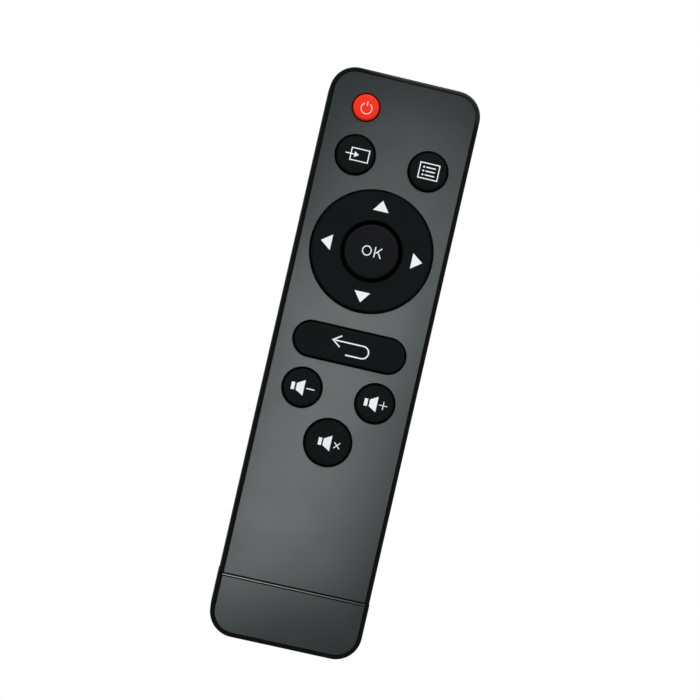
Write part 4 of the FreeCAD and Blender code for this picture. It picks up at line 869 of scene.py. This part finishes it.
def arc(x, y, radius_mm, start, end, steps):
    """Points on an arc, by its start and end angles in degrees."""
    turns = [math.radians(start + (end - start) * step / steps) for step in range(steps + 1)]
    return [(x + radius_mm * math.cos(turn), y + radius_mm * math.sin(turn)) for turn in turns]


def box_path(left, bottom, box_right, top, width):
    """The middle line of a frame, from its outer edges."""
    left, bottom = left + width / 2, bottom + width / 2
    box_right, top = box_right - width / 2, top - width / 2
    return [(left, bottom), (box_right, bottom), (box_right, top), (left, top)]


# %% [markdown]
# The power key carries the usual broken ring with a bar in its gap. The print on the real key sits a
# little to the right and below the middle, and it is kept so.

# %% Power, input and menu
POWER_STROKE = 0.20
POWER_RING = 1.50
POWER_MIDDLE = (0.14, -0.32)
POWER_GAP = 31
power_ring = arc(*POWER_MIDDLE, POWER_RING, 90 + POWER_GAP, 450 - POWER_GAP, 26)
power_bar = [(POWER_MIDDLE[0], 0.36), (POWER_MIDDLE[0], 1.62)]
print_on(
    "power_symbol", "power_key", "power",
    [(power_ring, POWER_STROKE, False), (power_bar, POWER_STROKE, False)],
)

INPUT_STROKE = 0.28
ARROW_ROW = 0.05
ARROW_NECK = -0.30
print_on(
    "input_symbol", "input_key", "input",
    [
        (box_path(-1.41, -1.72, 3.80, 1.90, INPUT_STROKE), INPUT_STROKE, True),
        ([(-2.78, ARROW_ROW), (ARROW_NECK, ARROW_ROW)], INPUT_STROKE, False),
        ([(ARROW_NECK, ARROW_ROW), (0.95, ARROW_ROW)], (1.60, 0.04), False),
    ],
)

MENU_STROKE = 0.285
MENU_ROWS = (1.08, 0.01, -1.07)
menu_lines = [([(-0.79, row), (1.88, row)], 0.32, False) for row in MENU_ROWS]
print_on(
    "menu_symbol", "menu_key", "menu",
    [(box_path(-2.69, -2.20, 2.97, 2.33, MENU_STROKE), MENU_STROKE, True)] + menu_lines,
    [(-1.41, row, 0.26) for row in MENU_ROWS],
)

# %% [markdown]
# OK is drawn with the same ribbons: an upright oval and three strokes. The back arrow is one line that
# turns round a half circle, with two wings at its tip.

# %% OK and back
OK_STROKE = 0.295
oval = [(-1.345 + 1.195 * x, 1.27 * y) for x, y in arc(0, 0, 1, 0, 345, 23)]
print_on(
    "ok_lettering", "ok_key", "ok",
    [
        (oval, OK_STROKE, True),
        ([(0.88, -1.47), (0.88, 1.47)], OK_STROKE, False),
        ([(1.13, -0.28), (2.68, 1.36)], OK_STROKE, False),
        ([(1.75, 0.16), (2.72, -1.40)], OK_STROKE, False),
    ],
)

BACK_STROKE = 0.365
back_turn = arc(3.70, -0.60, 1.71, 90, -90, 14)
print_on(
    "back_symbol", "back_key", "back",
    [
        ([(-4.35, 1.11), (0.0, 1.11)] + back_turn + [(-0.77, -2.31)], BACK_STROKE, False),
        ([(-2.67, 2.63), (-4.93, 1.11), (-2.67, -0.55)], BACK_STROKE, False),
    ],
)


# %% [markdown]
# The three sound keys share one speaker: a small bar and a cone that widens to the right. A minus, a
# plus or a cross stands beside it.

# %% Volume and mute
def speaker(bar_left, cone_left):
    """The bar and the cone of a speaker, from their left edges."""
    cone = [(cone_left, 0), (cone_left + 2.15, 0)]
    return [([(bar_left, 0), (bar_left + 0.95, 0)], 2.05, False), (cone, (1.88, 4.35), False)]


def crossed(x, y, half, width, lean):
    """Four short strokes, as a plus or, leaning, as a cross. The first one also fills the middle."""
    strokes = []
    for quarter in range(4):
        turn = math.radians(90 * quarter + lean)
        way = (math.cos(turn), math.sin(turn))
        reach = (-width / 2 if quarter == 0 else width / 2, half)
        strokes.append(([(x + way[0] * far, y + way[1] * far) for far in reach], width, False))
    return strokes


minus = [([(1.22, 0), (3.46, 0)], 0.30, False)]
print_on("volume_down_symbol", "volume_down_key", "volume_down", speaker(-3.05, -1.60) + minus)
plus = crossed(2.29, 0, 1.14, 0.23, 0)
print_on("volume_up_symbol", "volume_up_key", "volume_up", speaker(-3.05, -1.60) + plus)
mute_cross = crossed(2.55, -0.25, 1.15, 0.25, 45)
print_on("mute_symbol", "mute_key", "mute", speaker(-2.69, -1.32) + mute_cross)

# %% [markdown]
# The direction pad has four equal triangles. One is drawn above the middle key, and the others are
# copies turned by a quarter about the pad's middle, so all four are the same.

# %% Arrows of the direction pad
ARROW_BASE = 11.28
ARROW_TIP = 14.22
ARROW_WIDTH = 4.36
print_on(
    "arrow_up", "dpad_ring", "dpad",
    [([(0, ARROW_BASE), (0, ARROW_TIP)], (ARROW_WIDTH, 0.04), False)],
)
pad_middle = middle_of("dpad_ring")
for quarter, name in enumerate(("arrow_left", "arrow_down", "arrow_right"), start=1):
    bpy.ops.object.select_all(action="DESELECT")
    first_arrow = bpy.data.objects["arrow_up"]
    first_arrow.select_set(True)
    bpy.context.view_layer.objects.active = first_arrow
    bpy.ops.object.duplicate()
    arrow = bpy.context.object
    arrow.name = name
    bpy.ops.object.mode_set(mode="EDIT")
    bpy.ops.mesh.select_all(action="SELECT")
    bpy.ops.transform.rotate(
        value=-math.radians(90 * quarter), orient_axis="Z", center_override=pad_middle
    )
    bpy.ops.object.mode_set(mode="OBJECT")
    print(f"{name} turned by {90 * quarter} degrees")

# %% [markdown]
# Under each key stands a skirt of thin silicone. It is what a finger feels: the skirt buckles as the
# key goes down and springs it back. A ring of edges is extruded up in small steps and drawn in along a
# soft S, then given its wall. The long key's ring is the same circle, halved and moved apart. Each
# skirt is attached to the handset.

# %% Rubber skirts
SKIRT_SIDES = 64
SKIRT_WALL = 0.35 * MM
SKIRT_DRAW_IN = 0.40 * MM
SKIRT_LEVELS = 6
silicone = rubber("silicone_grey", (0.050, 0.052, 0.055), (0.072, 0.075, 0.078), 0.50, 0.4)


def skirt_ring(name, middle, base_radius, straight, low, high, draw_in):
    """A thin wall that rises from low to high and leans in, with straight sides if it is long."""
    bpy.ops.object.select_all(action="DESELECT")
    bpy.ops.mesh.primitive_circle_add(vertices=SKIRT_SIDES, radius=base_radius, fill_type="NOTHING")
    ring = bpy.context.object
    ring.name = name
    bpy.ops.object.mode_set(mode="EDIT")
    bpy.ops.mesh.select_mode(type="VERT")
    bpy.ops.mesh.select_all(action="SELECT")
    bpy.ops.transform.rotate(
        value=math.pi / SKIRT_SIDES, orient_axis="Z", center_override=(0, 0, 0)
    )
    around = 0.0
    for level in range(1, SKIRT_LEVELS + 1):
        share = level / SKIRT_LEVELS
        lean = (3 - 2 * share) * share * share
        narrower = (base_radius - draw_in * lean) / (base_radius - draw_in * around)
        around = lean
        rise = {"value": (0, 0, (high - low) / SKIRT_LEVELS)}
        bpy.ops.mesh.extrude_region_move(TRANSFORM_OT_translate=rise)
        bpy.ops.transform.resize(value=(narrower, narrower, 1), center_override=(0, 0, 0))
    for side in (-1, 1):
        shape = bmesh.from_edit_mesh(ring.data)
        select_vertices({vertex.index for vertex in shape.verts if vertex.co.x * side > 0})
        bpy.ops.transform.translate(value=(side * straight, 0, 0))
    bpy.ops.mesh.select_all(action="SELECT")
    bpy.ops.transform.translate(value=(middle.x, middle.y, low))
    bpy.ops.mesh.normals_make_consistent(inside=False)
    bpy.ops.object.mode_set(mode="OBJECT")
    apply_modifier(ring, "SOLIDIFY", thickness=SKIRT_WALL, offset=-1.0)
    bpy.ops.object.shade_smooth_by_angle()
    ring.data.materials.append(silicone)
    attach(ring, "handset")
    return ring


for key in ("power", "input", "menu", "volume_down", "volume_up", "mute", "ok", "back"):
    low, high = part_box(f"{key}_key_skirt")
    straight = (high.x - low.x - high.y + low.y) / 2
    skirt = skirt_ring(
        f"{key}_rubber_skirt", (low + high) / 2, (high.y - low.y) / 2, straight, low.z, high.z,
        0.0 if key == "back" else SKIRT_DRAW_IN,
    )
    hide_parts(f"{key}_key_skirt")
    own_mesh(skirt)

# %% [markdown]
# The direction pad stands on four small skirts, one under each arrow. It rocks two ways, so the pair
# under up and down is joined into one mesh named for its joint, and the pair under left and right into
# another.

# %% Skirts of the direction pad
low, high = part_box("dpad_skirts")
small_radius = 2.05 * MM + SKIRT_WALL
pad_circle = (high.x - low.x) / 2 - small_radius
for joint, across, along in (("dpad_rock_up_down", 0, 1), ("dpad_rock_left_right", 1, 0)):
    pair = []
    for side in (-1, 1):
        place = pad_middle + Vector((across, along, 0)) * side * pad_circle
        pair.append(skirt_ring("pad_skirt", place, small_radius, 0.0, low.z, high.z, 0.0))
    bpy.ops.object.select_all(action="DESELECT")
    for ring in pair:
        ring.select_set(True)
    bpy.context.view_layer.objects.active = pair[0]
    bpy.ops.object.join()
    skirts = bpy.context.object
    skirts.name = joint.replace("dpad_rock", "pad_skirts")
    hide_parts("dpad_skirts")
    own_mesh(skirts)
    print(f"{skirts.name}: {len(skirts.data.polygons)} faces")

# %% [markdown]
# The mat and the ring on which the pad rocks are soft, so they are modelled again as rubber. Their
# outlines are already right. A copy of each is merged into one closed mesh, and its sharp edges get
# the small round that a moulded silicone edge has. Building the mat again from a plane would only
# repeat all its holes. Smooth shading alone would smear those rounds over the flat top, so the larger
# faces are given the say in how the light falls.

# %% Silicone mat and rocking ring
SOFT_EDGE = 0.12 * MM
SOFT_EDGE_STEPS = 2
SHARP = math.radians(50)


def soft_copy(node, name, body):
    """A merged copy of a soft node with rounded edges, in silicone."""
    bpy.ops.object.select_all(action="DESELECT")
    nodes[node].select_set(True)
    bpy.context.view_layer.objects.active = nodes[node]
    bpy.ops.object.duplicate()
    piece = bpy.context.object
    piece.name = name
    bpy.ops.mesh.customdata_custom_splitnormals_clear()
    bpy.ops.object.mode_set(mode="EDIT")
    bpy.ops.mesh.select_all(action="SELECT")
    bpy.ops.mesh.remove_doubles(threshold=0.001 * MM)
    bpy.ops.mesh.dissolve_limited(angle_limit=math.radians(1))
    bpy.ops.object.mode_set(mode="OBJECT")
    apply_modifier(
        piece, "BEVEL", width=SOFT_EDGE, segments=SOFT_EDGE_STEPS,
        limit_method="ANGLE", angle_limit=SHARP,
    )
    bpy.ops.object.shade_smooth_by_angle()
    apply_modifier(piece, "WEIGHTED_NORMAL", keep_sharp=True)
    piece.material_slots[0].material = silicone
    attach(piece, body)
    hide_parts(node)
    print(f"{name}: {len(piece.data.polygons)} faces")


soft_copy("keypad_mat", "silicone_mat", "handset")
soft_copy("dpad_fulcrum", "rocking_ring", "dpad_gimbal")

# %% [markdown]
# The end cap starts with a narrow lip. In the photograph it shines brighter than the inlays on both
# sides, as if polished. Here it is a thin bar, bevelled along its top and laid on the lip of the cap,
# with which it rides. Its faces stay flat-shaded, because smoothing darkens the ends of so long a face.

# %% Bright lip of the end cap
LIP_GAP = 0.21 * MM
LIP_WIDTH = 0.33 * MM
LIP_PROUD = 0.03 * MM
LIP_SUNK = 0.25 * MM
LIP_BEVEL = 0.05 * MM


def polished_lip():
    finish = Finish("polished_lip")
    drift = finish.noise(0.4, stretch=(6, 1, 1))
    finish.set(
        Base_Color=finish.mix(drift, shade(0.004, 0.006, 0.006), shade(0.012, 0.015, 0.015)),
        Roughness=0.12 + 0.05 * drift,
        IOR=2.15,
        Specular_Tint=shade(0.94, 1.0, 0.995),
    )
    return finish.bump(drift, 0.004).material


lip_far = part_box("cover_panel")[1].y + LIP_GAP
lip_near = lip_far + LIP_WIDTH
lip_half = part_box("cover_panel")[1].x
bpy.ops.object.select_all(action="DESELECT")
lip_foot = (0, (lip_far + lip_near) / 2, PANEL_TOP - LIP_SUNK)
bpy.ops.mesh.primitive_plane_add(size=1, location=lip_foot)
lip = bpy.context.object
lip.name = "cap_lip"
bpy.ops.object.transform_apply(location=True)
bpy.ops.object.mode_set(mode="EDIT")
bpy.ops.mesh.select_all(action="SELECT")
bpy.ops.transform.resize(value=(2 * lip_half, lip_near - lip_far, 1), center_override=lip_foot)
rise = {"value": (0, 0, LIP_SUNK + LIP_PROUD)}
bpy.ops.mesh.extrude_region_move(TRANSFORM_OT_translate=rise)
bpy.ops.mesh.select_all(action="SELECT")
bpy.ops.mesh.normals_make_consistent(inside=False)
bpy.ops.mesh.select_mode(type="EDGE")
bpy.ops.mesh.select_all(action="DESELECT")
for edge in bmesh.from_edit_mesh(lip.data).edges:
    if min(vertex.co.z for vertex in edge.verts) > PANEL_TOP:
        edge.select_set(True)
bmesh.update_edit_mesh(lip.data)
bpy.ops.mesh.bevel(offset=LIP_BEVEL, segments=3)
bpy.ops.object.mode_set(mode="OBJECT")
lip.data.materials.append(polished_lip())
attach(lip, "cover")
lip_faces = len(lip.data.polygons)
print(f"lip {2 * lip_half / MM:.1f} x {(lip_near - lip_far) / MM:.2f} mm, {lip_faces} faces")
